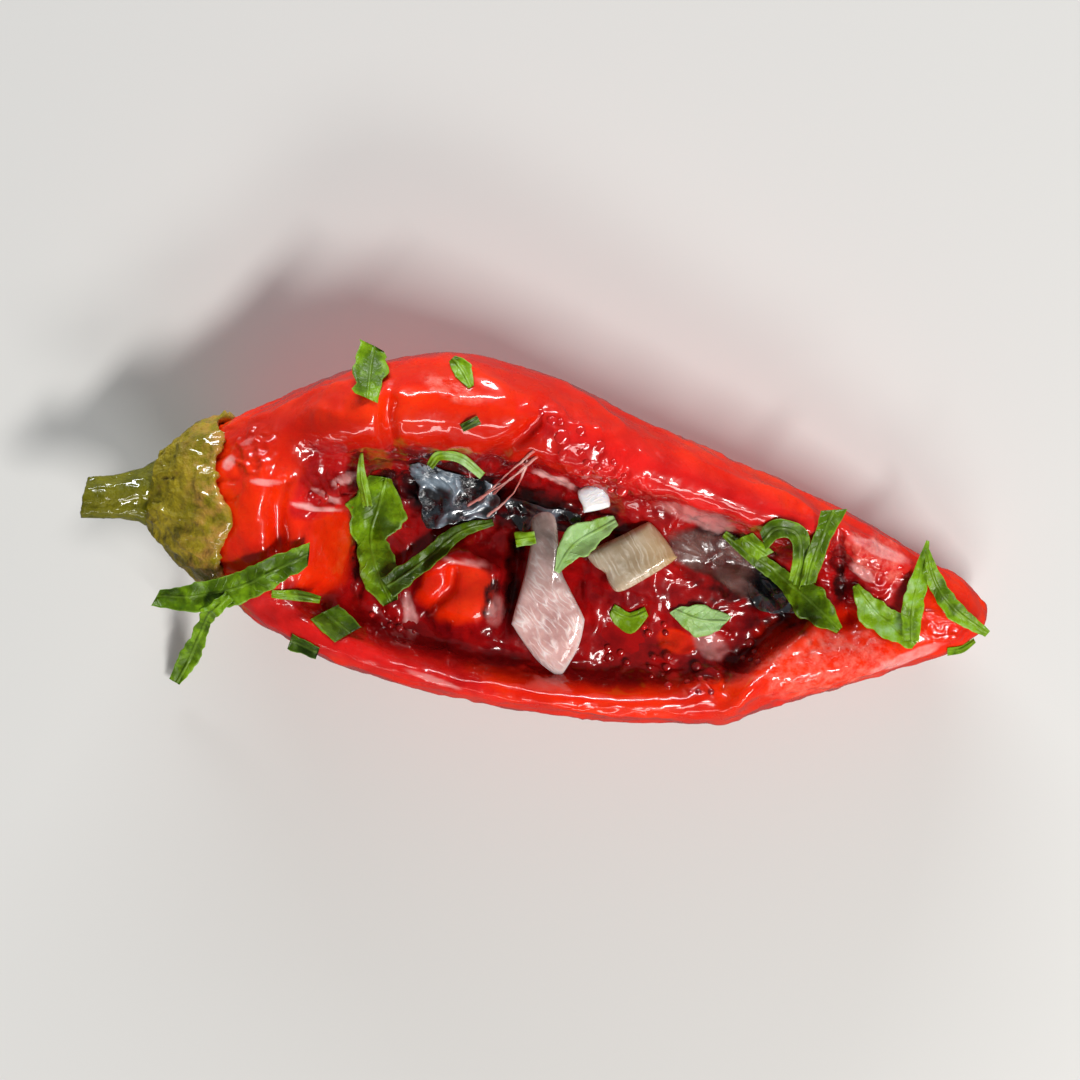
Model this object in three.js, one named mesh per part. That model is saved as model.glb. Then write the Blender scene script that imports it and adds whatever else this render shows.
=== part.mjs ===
// A whole mini sweet pepper, roasted until it has slumped, with its stalk and two pieces of cooked onion.
//
// The flesh is one closed loft of cross-sections. At the stalk it is round. Further along, its top has sunk
// between a broad rolled shoulder on the +Y side and a thin fold on the -Y side, and it closes again towards
// the tip. The stalk is a lobed cap laid over the domed end of the flesh, and a short bent stem grows from
// it. The onion pieces are stiff slabs that rest in the sunken top.
//
// Millimetres, +Z up. The stalk points to -X and the tip to +X. The origin is below the middle of the whole
// object, on the surface that it rests on.
import * as THREE from "three";

// Driving dimensions
const bodyLength = 81; // from the seat of the calyx to the tip
const halfWidth = 17.9; // from the axis to the widest point of the shoulder
const bodyHeight = 21.5; // highest crest above the table
const endDome = 6.2; // how far the flesh domes out under the calyx
const endBluntness = 2.1; // exponent of the dome, where 2 is an ellipse
const endSkew = 0.4; // how much blunter the dome is on the broad side than in the middle
const tipRound = 4.5; // length over which the tip rounds off
const restSpot = 0.5; // how much of the belly is pressed flat against the table
const roundSwell = 1.03; // how much wider and taller a round section is than a slumped one
const gap = 0.35; // clearance between two pieces that touch

const flesh = new THREE.MeshStandardMaterial({ color: "#d92414", roughness: 0.22 });
const green = new THREE.MeshStandardMaterial({ color: "#7d7a1c", roughness: 0.35 });
const cookedOnion = new THREE.MeshStandardMaterial({ color: "#d8b9a2", roughness: 0.25 });

const { clamp, lerp, smoothstep, degToRad } = THREE.MathUtils;

// Stations along the flesh. "at" is a share of the length, and "roll" one of the half width at that station.
// The widths are shares of halfWidth, and the heights are shares of bodyHeight. "sink" is how deep the top
// has sunk below the crests, and below zero it is domed. "round" is 1 where the section is still a full
// round one.
const stations = [
  { at: 0.0, north: 0.42, south: 0.44, crestN: 0.79, crestS: 0.78, base: 0.18,
    sink: -0.03, rollN: 0.6, rollS: 0.5, round: 1 },
  { at: 0.055, north: 0.6, south: 0.64, crestN: 0.9, crestS: 0.84, base: 0.08,
    sink: 0.03, rollN: 0.6, rollS: 0.42, round: 0.8 },
  { at: 0.15, north: 0.85, south: 0.8, crestN: 1.0, crestS: 0.82, base: 0.015,
    sink: 0.3, rollN: 0.58, rollS: 0.34, round: 0.1 },
  { at: 0.26, north: 1.0, south: 0.89, crestN: 0.99, crestS: 0.78, base: 0,
    sink: 0.45, rollN: 0.56, rollS: 0.28, round: 0 },
  { at: 0.38, north: 0.97, south: 0.92, crestN: 0.94, crestS: 0.76, base: 0,
    sink: 0.42, rollN: 0.52, rollS: 0.27, round: 0 },
  { at: 0.54, north: 0.78, south: 0.9, crestN: 0.85, crestS: 0.74, base: 0,
    sink: 0.34, rollN: 0.48, rollS: 0.27, round: 0 },
  { at: 0.66, north: 0.64, south: 0.825, crestN: 0.76, crestS: 0.69, base: 0.006,
    sink: 0.285, rollN: 0.5, rollS: 0.37, round: 0 },
  { at: 0.69, north: 0.61, south: 0.81, crestN: 0.74, crestS: 0.68, base: 0.008,
    sink: 0.27, rollN: 0.5, rollS: 0.4, round: 0 },
  { at: 0.72, north: 0.575, south: 0.735, crestN: 0.715, crestS: 0.66, base: 0.013,
    sink: 0.245, rollN: 0.5, rollS: 0.42, round: 0.02 },
  { at: 0.82, north: 0.44, south: 0.52, crestN: 0.62, crestS: 0.58, base: 0.035,
    sink: 0.15, rollN: 0.5, rollS: 0.5, round: 0.1 },
  { at: 0.92, north: 0.27, south: 0.31, crestN: 0.51, crestS: 0.5, base: 0.075,
    sink: 0.02, rollN: 0.5, rollS: 0.5, round: 0.6 },
  { at: 1.0, north: 0.17, south: 0.17, crestN: 0.42, crestS: 0.42, base: 0.12,
    sink: -0.02, rollN: 0.6, rollS: 0.6, round: 1 },
];

// Lumps and hollows of the top: x and y of the middle, length, width, how far the long axis is turned from
// +X, how much the skin is lifted, and how steep the edge is.
const lumps = [
  { x: 26.2, y: -5.4, long: 4.7, wide: 3.9, turn: 12, lift: 2.7, edge: 2 }, // lump in the middle of the basin
  { x: 11.0, y: -3.6, long: 5.0, wide: 2.5, turn: -76, lift: 2.0, edge: 1.5 }, // lobe by the calyx
  { x: 22, y: 3.6, long: 8, wide: 3, turn: -8, lift: -2.2, edge: 1 }, // scorched hollow under the shoulder
  { x: 47, y: -1.5, long: 6, wide: 3.6, turn: -15, lift: 1.2, edge: 1 }, // soft hump beside the square onion
  { x: 46, y: 5.4, long: 9, wide: 2.6, turn: -14, lift: 1.4, edge: 1 }, // gentler wall along the narrow half
  { x: 56.5, y: 1.2, long: 5, wide: 2.4, turn: -30, lift: -1.8, edge: 1 }, // second scorched hollow
  { x: 65, y: -6.0, long: 7.5, wide: 3.2, turn: 17, lift: 1.5, edge: 1.5 }, // flattened shoulder near the tip
  { x: 45.4, y: -8.2, long: 5.4, wide: 2.4, turn: -6, lift: -1.1, edge: 1 }, // hollow that holds the juice
];

// Creases and folds of the top: lift, width and the points that each runs through.
const folds = [
  { lift: -1.9, wide: 0.8, path: [[16.1, 17.5], [16.4, 12], [17.4, 8.5]] }, // crease across the shoulder
  { lift: -1.3, wide: 1.0, path: [[6.9, 2.9], [6.7, 0.5], [7.8, -5]] }, // crease beside the collar
  { lift: 0.9, wide: 0.7, path: [[10.4, 0.7], [13.2, 1.4]] },
  { lift: 0.9, wide: 0.7, path: [[10.8, 1.9], [13.3, 4.3]] },
  { lift: -1.7, wide: 1.2, path: [[15.3, 1], [15.6, -8]] }, // gap behind the lobe
  { lift: 1.2, wide: 1.0, path: [[29.4, 4], [33, 4.2], [36.9, 3.6]] }, // black fold
  { lift: 1.2, wide: 0.9, path: [[22.8, -3.6], [26.2, -2.3], [30.0, -3.0]] }, // crest of the lump
  { lift: -0.9, wide: 0.6, path: [[23.2, -8.6], [25.4, -5.6], [25.2, -3.4]] }, // wrinkle across it
  { lift: 0.9, wide: 0.8, path: [[18.0, -4.6], [18.8, -7.0], [20.4, -9.6]] }, // crumpled skin beside it
  { lift: 0.8, wide: 0.9, path: [[29.6, -3.2], [30.0, -7.6]] }, // its far side
  { lift: -1.5, wide: 0.9, path: [[31.3, 0], [31.5, -9]] }, // crease behind the lump
  // the wall inside the thin fold
  { lift: -1.8, wide: 1.7, path: [[12, -8.5], [21, -11.3], [30, -12.2], [40, -12], [50, -10.8]] },
  { lift: 1.5, wide: 1.1, path: [[55.9, -14.3], [58.5, -8], [63, -3]] }, // ridge to the corner of the rim
  { lift: -1.1, wide: 0.9, path: [[54.9, -10.4], [56.6, -7.6], [60.6, -3.2]] }, // groove beside that ridge
  { lift: -1.9, wide: 0.9, path: [[63.6, 8], [64.8, 3.4], [66.4, -1.5]] }, // crease across the tip's shoulder
  { lift: -1.6, wide: 0.9, path: [[27.5, 9], [31.4, 13.6], [32.4, 17.5]] }, // sharp end of the broad shoulder
  { lift: -1.6, wide: 1.6, path: [[14, 5.2], [20, 4.8], [29, 5.8]] }, // hollow below the shoulder
];

const ringCount = 82;
const aroundCount = 44;
const topDensity = 0.5; // how much closer the points of a ring lie on the top than on the belly
const roundTurn = 2 * Math.PI;

// Value of one station column at x, on a smooth curve through the stations.
function along(column, x) {
  const share = x / bodyLength;
  const last = stations.length - 1;
  const slope = (i) => {
    const before = stations[Math.max(i - 1, 0)];
    const after = stations[Math.min(i + 1, last)];
    return (after[column] - before[column]) / (after.at - before.at);
  };
  if (share <= 0) return stations[0][column] + slope(0) * share;
  if (share >= 1) return stations[last][column];
  const i = stations.findIndex((station) => station.at > share) - 1;
  const width = stations[i + 1].at - stations[i].at;
  const t = (share - stations[i].at) / width;
  return (
    (2 * t ** 3 - 3 * t ** 2 + 1) * stations[i][column] +
    (t ** 3 - 2 * t ** 2 + t) * width * slope(i) +
    (3 * t ** 2 - 2 * t ** 3) * stations[i + 1][column] +
    (t ** 3 - t ** 2) * width * slope(i + 1)
  );
}

// 1 along the body, falling to 0 at both ends; the calyx end is as blunt as asked.
function endShare(x, bluntness) {
  if (x < 0) return Math.max(0, 1 - Math.min(-x / endDome, 1) ** bluntness) ** (1 / bluntness);
  const intoTip = (x - (bodyLength - tipRound)) / tipRound;
  return intoTip > 0 ? Math.sqrt(Math.max(0, 1 - intoTip ** 2)) : 1;
}

// Control points (y, z) of one half of a slumped section, from the belly over the crest into the basin.
function slumpedHalf(side, width, crest, base, roll, floor) {
  const height = crest - base;
  const drop = crest - floor;
  const belly = base - restSpot;
  return [
    [0.34 * width, belly],
    [0.7 * width, base + 0.06 * height],
    [0.99 * width, base + 0.32 * height],
    [1.05 * width, base + 0.62 * height],
    [width - 0.08 * roll, crest - 0.08 * height],
    [width - 0.5 * roll, crest + 0.05 * height],
    [width - 0.88 * roll, crest - 0.2 * drop],
    [width - 1.0 * roll, crest - 0.7 * drop],
    [0.5 * (width - 1.2 * roll), floor],
  ].map(([y, z]) => [side * y, z]);
}

// Closed control polygon (y, z) of the section at x, anticlockwise seen from the tip.
function sectionPolygon(x) {
  const at = (column) => along(column, x);
  const base = at("base") * bodyHeight;
  const crests = [at("crestS"), at("crestN")].map((share) => share * bodyHeight);
  const widths = [at("south"), at("north")].map((share) => share * halfWidth);
  const rolls = [at("rollS"), at("rollN")].map((share, i) => share * widths[i]);
  const floor = 0.5 * (crests[0] + crests[1]) - at("sink") * bodyHeight;
  const south = slumpedHalf(-1, widths[0], crests[0], base, rolls[0], floor);
  const north = slumpedHalf(1, widths[1], crests[1], base, rolls[1], floor);
  const slumped = [[0, base - restSpot], ...north, [0, floor], ...south.reverse()];

  const middle = 0.5 * (base + Math.max(...crests));
  const turned = (i) => (i / slumped.length - 0.25) * roundTurn;
  const roundness = clamp(at("round"), 0, 1);
  return slumped.map(([y, z], i) => {
    const across = Math.cos(turned(i));
    const end = endShare(x, endBluntness + endSkew * across);
    const width = roundSwell * widths[across < 0 ? 0 : 1];
    const crest = crests[across < 0 ? 0 : 1];
    const roundY = width * across;
    const roundZ = middle + roundSwell * Math.sin(turned(i)) * 0.5 * (crest - base);
    return [end * lerp(y, roundY, roundness), middle + end * (lerp(z, roundZ, roundness) - middle)];
  });
}

// Point of the closed uniform cubic B-spline of a polygon, at the share "around" of the full turn.
function onSpline(polygon, around) {
  const count = polygon.length;
  const place = around * count;
  const i = Math.floor(place);
  const t = place - i;
  const weights = [(1 - t) ** 3, 3 * t ** 3 - 6 * t ** 2 + 4, -3 * t ** 3 + 3 * t ** 2 + 3 * t + 1, t ** 3];
  const corner = (k) => polygon[(i + k - 1 + count) % count];
  const sum = (axis) => weights.reduce((total, weight, k) => total + (weight / 6) * corner(k)[axis], 0);
  return [sum(0), sum(1)];
}

// Distance from (x, y) to the nearest stretch of a path.
function pathDistance(x, y, path) {
  const stretches = path.slice(1).map(([bx, by], i) => {
    const [ax, ay] = path[i];
    const t = clamp(((x - ax) * (bx - ax) + (y - ay) * (by - ay)) / ((bx - ax) ** 2 + (by - ay) ** 2), 0, 1);
    return Math.hypot(x - lerp(ax, bx, t), y - lerp(ay, by, t));
  });
  return Math.min(...stretches);
}

// How far the lumps and folds lift the top of the flesh at (x, y).
function topLift(x, y) {
  let lift = 0;
  for (const lump of lumps) {
    const turn = degToRad(lump.turn);
    const dx = x - lump.x;
    const dy = y - lump.y;
    const lengthwise = (dx * Math.cos(turn) + dy * Math.sin(turn)) / lump.long;
    const crosswise = (dy * Math.cos(turn) - dx * Math.sin(turn)) / lump.wide;
    lift += lump.lift * Math.exp(-((lengthwise ** 2 + crosswise ** 2) ** lump.edge));
  }
  for (const fold of folds) lift += fold.lift * Math.exp(-((pathDistance(x, y, fold.path) / fold.wide) ** 2));
  return lift;
}

// Slow unevenness of the sunken top.
function unevenness(x, y) {
  const slow = 0.45 * Math.sin(x / 3.1 + y / 5);
  const slanted = 0.35 * Math.sin(x / 1.7 - y / 3.3 + 1);
  return slow + slanted + 0.25 * Math.sin(y / 2.2 + x / 6);
}

// Point of the skin: x along the body, "around" from the belly over +Y and the top back to the belly.
function skinPoint(x, around) {
  const [y, z] = onSpline(sectionPolygon(x), around);
  const up = Math.sin((around - 0.25) * roundTurn); // -1 at the belly, 1 in the middle of the basin
  const slumped = smoothstep(x, 1, 7) * (1 - smoothstep(x, 70, 79));
  const lift = smoothstep(up, -0.1, 0.45) * topLift(x, y) + smoothstep(up, 0.5, 0.8) * unevenness(x, y);
  return new THREE.Vector3(x, y, Math.max(z + slumped * lift, 0));
}

// x of a ring: rings crowd towards the two rounded ends.
function ringX(share) {
  const crowded = 0.5 - 0.5 * Math.cos(Math.PI * share);
  return lerp(-endDome, bodyLength, lerp(share, crowded, 0.55));
}

// Closed surface through rings of points, each ring of the same count, with a point to close each end.
function loft(rings, startPoint, endPoint) {
  const around = rings[0].length;
  const points = [...rings.flat(), startPoint, endPoint];
  const startIndex = points.length - 2;
  const endIndex = points.length - 1;
  const index = [];
  for (let i = 0; i < around; i++) {
    const next = (i + 1) % around;
    index.push(startIndex, next, i);
    for (let r = 0; r < rings.length - 1; r++) {
      const here = r * around;
      const there = here + around;
      index.push(here + i, here + next, there + next, here + i, there + next, there + i);
    }
    const lastRing = (rings.length - 1) * around;
    index.push(endIndex, lastRing + i, lastRing + next);
  }
  const geometry = new THREE.BufferGeometry().setFromPoints(points);
  geometry.setIndex(index);
  geometry.computeVertexNormals();
  return geometry;
}

// Place around a ring: points crowd on the top, where the folds are.
function ringAround(share) {
  return share + (topDensity * Math.sin(roundTurn * share)) / roundTurn;
}

function makeFlesh() {
  const rings = [];
  for (let r = 1; r < ringCount; r++) {
    const x = ringX(r / ringCount);
    rings.push(Array.from({ length: aroundCount }, (_, i) => skinPoint(x, ringAround(i / aroundCount))));
  }
  const mesh = new THREE.Mesh(loft(rings, skinPoint(-endDome, 0), skinPoint(bodyLength, 0)), flesh);
  mesh.name = "pepper_flesh";
  return mesh;
}

// Stalk
const stemTip = new THREE.Vector3(-13.6, -2.9, 12.4); // middle of the cut end
const stemRoot = new THREE.Vector3(-endDome - 0.6, -1.4, 10.9); // middle of the stem where it meets the calyx
const stemRadii = [2.1, 3.1]; // at the cut end and at the calyx
const stemBow = 0.5; // how far the stem arches up between its ends
const stemFluting = 0.055; // depth of the stem's five flutes, as a share of its radius
const stemSwell = 1.12; // how much the stem widens where the calyx takes over
const cutBulge = 0.15; // how far the middle of the cut end stands out
const stemShares = [0.12, 0.35, 0.6, 0.84]; // rings along the stem
const capThick = 1.1;
const capEdge = 0.6; // x of the calyx's edge on the top of the flesh, without its lobes
const capLean = 1.7; // how much further the edge reaches on the thin side than on the broad one
const capStart = -0.96 * endDome; // x of the calyx's innermost ring
const capFlare = 0.6; // how far along the calyx the flare of the stem reaches, as a share of its length
const ribHeight = 0.9; // five ribs run from the stem to the edge
const capShares = [0.12, 0.25, 0.4, 0.6, 0.8, 0.95]; // rings over the calyx
const undersideShares = [0.97, 0.75, 0.5, 0.25, 0.08]; // rings back under it
const capLobes = [
  { at: 0.53, wide: 0.035, reach: 2.0 },
  { at: 0.7, wide: 0.05, reach: 0.7 },
  { at: 0.36, wide: 0.05, reach: 0.8 },
  { at: 0.16, wide: 0.06, reach: 1.3 },
  { at: 0.92, wide: 0.06, reach: 1.1 },
];
const stalkAround = 40;

// Point above the skin, at a height measured square to it.
function aboveSkin(x, around, height) {
  const step = 0.02;
  const here = skinPoint(x, around);
  const lengthwise = skinPoint(x + step, around).sub(skinPoint(x - step, around));
  const crosswise = skinPoint(x, around + step).sub(skinPoint(x, around - step));
  return here.add(crosswise.cross(lengthwise).normalize().multiplyScalar(height));
}

// x of the calyx's edge.
function capReach(around) {
  let reach = capEdge - capLean * Math.sin(roundTurn * around);
  for (const lobe of capLobes) {
    const away = Math.abs(THREE.MathUtils.euclideanModulo(around - lobe.at + 0.5, 1) - 0.5);
    reach += lobe.reach * Math.exp(-((away / lobe.wide) ** 1.5));
  }
  return reach;
}

// Thickness of the calyx; share runs from the stem to the edge.
function capThickness(share, around) {
  const rib = Math.abs(Math.cos(2.5 * roundTurn * around + 0.5)) ** 3;
  const plain = capThick * (1.15 + 0.25 * Math.sin(Math.PI * share) - 0.75 * share ** 4);
  return plain + ribHeight * (rib - 0.25) * (1 - 0.75 * smoothstep(share, 0.3, 0.9));
}

// Ring of the stem, round its bent axis; share runs from the cut end to the calyx.
function stemRing(share, radius) {
  const middle = stemTip.clone().lerp(stemRoot, share);
  middle.z += stemBow * Math.sin(Math.PI * share);
  return Array.from({ length: stalkAround }, (_, i) => {
    const angle = (i / stalkAround - 0.25) * roundTurn;
    const ribbed = radius * (1 + stemFluting * Math.cos(5 * angle + 0.7));
    return middle.clone().add(new THREE.Vector3(0, ribbed * Math.cos(angle), ribbed * Math.sin(angle)));
  });
}

// Ring of the calyx, as high above the skin as the given function of "around" says.
function capRing(share, height) {
  return Array.from({ length: stalkAround }, (_, i) => {
    const around = i / stalkAround;
    return aboveSkin(lerp(capStart, capReach(around), share), around, height(around));
  });
}

function makeStalk() {
  const rings = [stemRing(0, 0.6 * stemRadii[0]), stemRing(0.02, 0.95 * stemRadii[0])];
  for (const share of stemShares) rings.push(stemRing(share, lerp(...stemRadii, share ** 2)));
  // The stem flares into the calyx: the first rings are drawn in towards the stem.
  const stemEnd = stemRing(0.98, stemSwell * stemRadii[1]);
  for (const share of capShares) {
    const drawnIn = Math.exp(-((share / capFlare) ** 2));
    const ring = capRing(share, (around) => gap + capThickness(share, around));
    rings.push(ring.map((point, i) => point.lerp(stemEnd[i], drawnIn)));
  }
  rings.push(capRing(1, () => gap + 0.35 * capThick));
  for (const share of undersideShares) rings.push(capRing(share, () => gap));
  const start = stemTip.clone().add(new THREE.Vector3(-cutBulge, 0, 0));
  const end = skinPoint(-endDome, 0).add(new THREE.Vector3(-gap, 0, 0));
  const mesh = new THREE.Mesh(loft(rings, start, end), green);
  mesh.name = "stalk";
  return mesh;
}

// Onion pieces: stiff slabs with a slight curl, lowered on to the skin until they touch.
const onions = [
  {
    name: "onion_petal",
    x: 35.8, y: -4.4, turn: -78, thick: 1.5, curl: 0.012, slopeLong: -0.17, slopeWide: 0.1,
    outline: [
      [-8.4, -1.5], [-5.6, -1.9], [-2.2, -2.7], [2.3, -4.1], [3.2, -4.0], [6.6, -1.9], [8.3, 0.0], [8.4, 0.6],
      [7.9, 1.1], [5.4, 2.6], [2.9, 3.3], [2.1, 3.2], [-0.4, 2.1], [-3.1, 1.1], [-8.4, 0.7],
    ],
  },
  {
    name: "onion_square",
    x: 43.4, y: 1.0, turn: 38, thick: 2.1, curl: 0.02, slopeLong: 0.05, slopeWide: -0.1,
    outline: [
      [-4.2, 2.2], [-4.0, 0.9], [-3.4, -0.2], [-3.5, -1.5], [-2.9, -2.6], [0.4, -2.6], [3.7, -2.3],
      [4.0, -1.8], [3.8, 0.2], [3.3, 2.2], [2.7, 2.5], [0, 2.5], [-3.6, 2.6],
    ],
  },
];
const onionShares = [0.45, 0.8, 1]; // rings of a slab, as shares of its outline
const onionCrown = [1.08, 1.1]; // how much thicker a slab is towards its middle
const outlinePoints = 36;

function makeOnion(spec, ground) {
  const rim = new THREE.SplineCurve(spec.outline.map(([x, y]) => new THREE.Vector2(x, y)));
  const closed = new THREE.SplineCurve([...rim.points, rim.points[0]]);
  const edge = closed.getSpacedPoints(outlinePoints).slice(0, outlinePoints);
  const turn = degToRad(spec.turn);
  // Point of the slab's underside before it is lowered, from a point of its own outline.
  const under = (p, share) => {
    const u = p.x * share;
    const v = p.y * share;
    const z = u * spec.slopeLong + v * spec.slopeWide - spec.curl * u * u;
    return new THREE.Vector3(
      spec.x + u * Math.cos(turn) - v * Math.sin(turn),
      spec.y + u * Math.sin(turn) + v * Math.cos(turn),
      z,
    );
  };
  const layers = onionShares.map((share) => edge.map((p) => under(p, share)));
  const middle = under(new THREE.Vector2(), 0);
  const ray = new THREE.Raycaster();
  const down = new THREE.Vector3(0, 0, -1);
  const groundHeight = (p) => {
    ray.set(new THREE.Vector3(p.x, p.y, 100), down);
    return ray.intersectObject(ground)[0].point.z;
  };
  const rise = Math.max(...[middle, ...layers.flat()].map((p) => groundHeight(p) + gap - p.z));
  const raised = (p, height) => p.clone().setZ(p.z + rise + height);
  const [inner, mid, outer] = layers;
  const rings = [
    inner.map((p) => raised(p, 0)),
    mid.map((p) => raised(p, 0)),
    outer.map((p) => raised(p, 0.25 * spec.thick)),
    outer.map((p) => raised(p, 0.75 * spec.thick)),
    mid.map((p) => raised(p, spec.thick)),
    inner.map((p) => raised(p, onionCrown[0] * spec.thick)),
  ];
  const crown = raised(middle, onionCrown[1] * spec.thick);
  const mesh = new THREE.Mesh(loft(rings, raised(middle, 0), crown), cookedOnion);
  mesh.name = spec.name;
  return mesh;
}

const pepper = new THREE.Group();
const fleshMesh = makeFlesh();
pepper.add(fleshMesh, makeStalk(), ...onions.map((spec) => makeOnion(spec, fleshMesh)));

// The origin goes below the middle of the whole object.
const box = new THREE.Box3().setFromObject(pepper);
pepper.position.set(-0.5 * (box.min.x + box.max.x), -0.5 * (box.min.y + box.max.y), 0);

export default pepper;
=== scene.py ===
"""A roasted mini sweet pepper: glossy slumped skin, scorched basin, cooked stalk, onion and chopped herb."""

import math

import bmesh
import bpy
import numpy as np
from mathutils import Matrix, Vector
from mathutils.bvhtree import BVHTree


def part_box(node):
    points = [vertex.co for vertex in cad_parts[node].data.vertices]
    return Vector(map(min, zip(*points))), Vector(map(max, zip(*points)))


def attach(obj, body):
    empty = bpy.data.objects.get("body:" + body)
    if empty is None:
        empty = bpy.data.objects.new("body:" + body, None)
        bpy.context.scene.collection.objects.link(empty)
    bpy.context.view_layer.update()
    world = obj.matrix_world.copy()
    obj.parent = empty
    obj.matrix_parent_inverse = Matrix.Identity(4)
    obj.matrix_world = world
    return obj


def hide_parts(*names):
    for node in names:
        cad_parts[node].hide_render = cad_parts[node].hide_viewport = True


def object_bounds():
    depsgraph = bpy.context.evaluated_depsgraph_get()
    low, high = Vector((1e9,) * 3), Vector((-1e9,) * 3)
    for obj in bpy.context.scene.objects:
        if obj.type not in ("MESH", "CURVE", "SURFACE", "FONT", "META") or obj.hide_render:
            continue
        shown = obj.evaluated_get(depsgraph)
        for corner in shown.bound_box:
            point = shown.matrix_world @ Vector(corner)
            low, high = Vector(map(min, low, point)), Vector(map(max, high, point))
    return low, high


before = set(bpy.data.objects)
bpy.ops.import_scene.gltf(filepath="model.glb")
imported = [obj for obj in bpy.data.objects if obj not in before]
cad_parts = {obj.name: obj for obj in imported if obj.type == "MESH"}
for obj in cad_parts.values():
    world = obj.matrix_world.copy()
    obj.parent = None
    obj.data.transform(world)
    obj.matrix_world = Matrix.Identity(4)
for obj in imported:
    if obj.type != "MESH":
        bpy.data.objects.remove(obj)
cad_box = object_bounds()

MM = 0.001
TURN = 2 * math.pi

# ---- The shape of the flesh ----
# In millimetres: x runs from the seat of the calyx to the tip, and y towards the broad shoulder.
BODY_LENGTH = 81.0
HALF_WIDTH = 17.9
BODY_HEIGHT = 21.5
END_DOME = 6.2
END_BLUNTNESS = 2.1  # of the dome under the calyx
END_SKEW = 0.4  # how much blunter the dome is on the broad side, and less blunt on the thin one
TIP_ROUND = 4.5
END_SWELL = 1.03  # how much fuller the round ends are than the slumped sections
REST_SPOT = 0.5  # how far the belly would reach below the table, if it weren't pressed flat
# Where the lumps and folds of the top fade in and out along x, and where the dark inside of the basin does.
SLUMP_START, SLUMP_END = (1, 7), (70, 79)
BASIN_START, BASIN_END = (6.5, 10), (64, 74)

# Sections from the calyx to the tip: place as a share of the length, half widths as shares of HALF_WIDTH,
# crests, base and sink of the basin as shares of BODY_HEIGHT, rolls of the shoulders as shares of their half
# widths, and how round the section is instead of slumped.
STATION_COLUMNS = ("at", "north", "south", "crest_n", "crest_s", "base", "sink", "roll_n", "roll_s", "round")
STATIONS = np.array([
    (0.0, 0.42, 0.44, 0.79, 0.78, 0.18, -0.03, 0.6, 0.5, 1),
    (0.055, 0.6, 0.64, 0.9, 0.84, 0.08, 0.03, 0.6, 0.42, 0.8),
    (0.15, 0.85, 0.8, 1.0, 0.82, 0.015, 0.3, 0.58, 0.34, 0.1),
    (0.26, 1.0, 0.89, 0.99, 0.78, 0, 0.45, 0.56, 0.28, 0),
    (0.38, 0.97, 0.92, 0.94, 0.76, 0, 0.42, 0.52, 0.27, 0),
    (0.54, 0.78, 0.9, 0.85, 0.74, 0, 0.34, 0.48, 0.27, 0),
    (0.66, 0.64, 0.825, 0.76, 0.69, 0.006, 0.285, 0.5, 0.37, 0),
    (0.69, 0.61, 0.81, 0.74, 0.68, 0.008, 0.27, 0.5, 0.4, 0),
    (0.72, 0.575, 0.735, 0.715, 0.66, 0.013, 0.245, 0.5, 0.42, 0.02),
    (0.82, 0.44, 0.52, 0.62, 0.58, 0.035, 0.15, 0.5, 0.5, 0.1),
    (0.92, 0.27, 0.31, 0.51, 0.5, 0.075, 0.02, 0.5, 0.5, 0.6),
    (1.0, 0.17, 0.17, 0.42, 0.42, 0.12, -0.02, 0.6, 0.6, 1),
])

# Lumps and hollows of the top: x, y, length, width, turn in degrees, lift, and how steep the edge is.
LUMPS = (
    (26.2, -5.4, 4.7, 3.9, 12, 2.7, 2),  # lump in the middle of the basin
    (11.0, -3.6, 5.0, 2.5, -76, 2.0, 1.5),  # lobe on the wall by the calyx
    (22, 3.6, 8, 3, -8, -2.2, 1),  # hollow under the shoulder, scorched and painted in shade
    (47, -1.5, 6, 3.6, -15, 1.2, 1),  # soft hump beside the square onion
    (46, 5.4, 9, 2.6, -14, 1.4, 1),  # gentler wall along the narrow half
    (56.5, 1.2, 5, 2.4, -30, -1.8, 1),  # second scorched hollow
    (65, -6.0, 7.5, 3.2, 17, 1.5, 1.5),  # flattened shoulder near the tip
    (45.4, -8.2, 5.4, 2.4, -6, -1.1, 1),  # hollow that holds the juice
)

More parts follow.
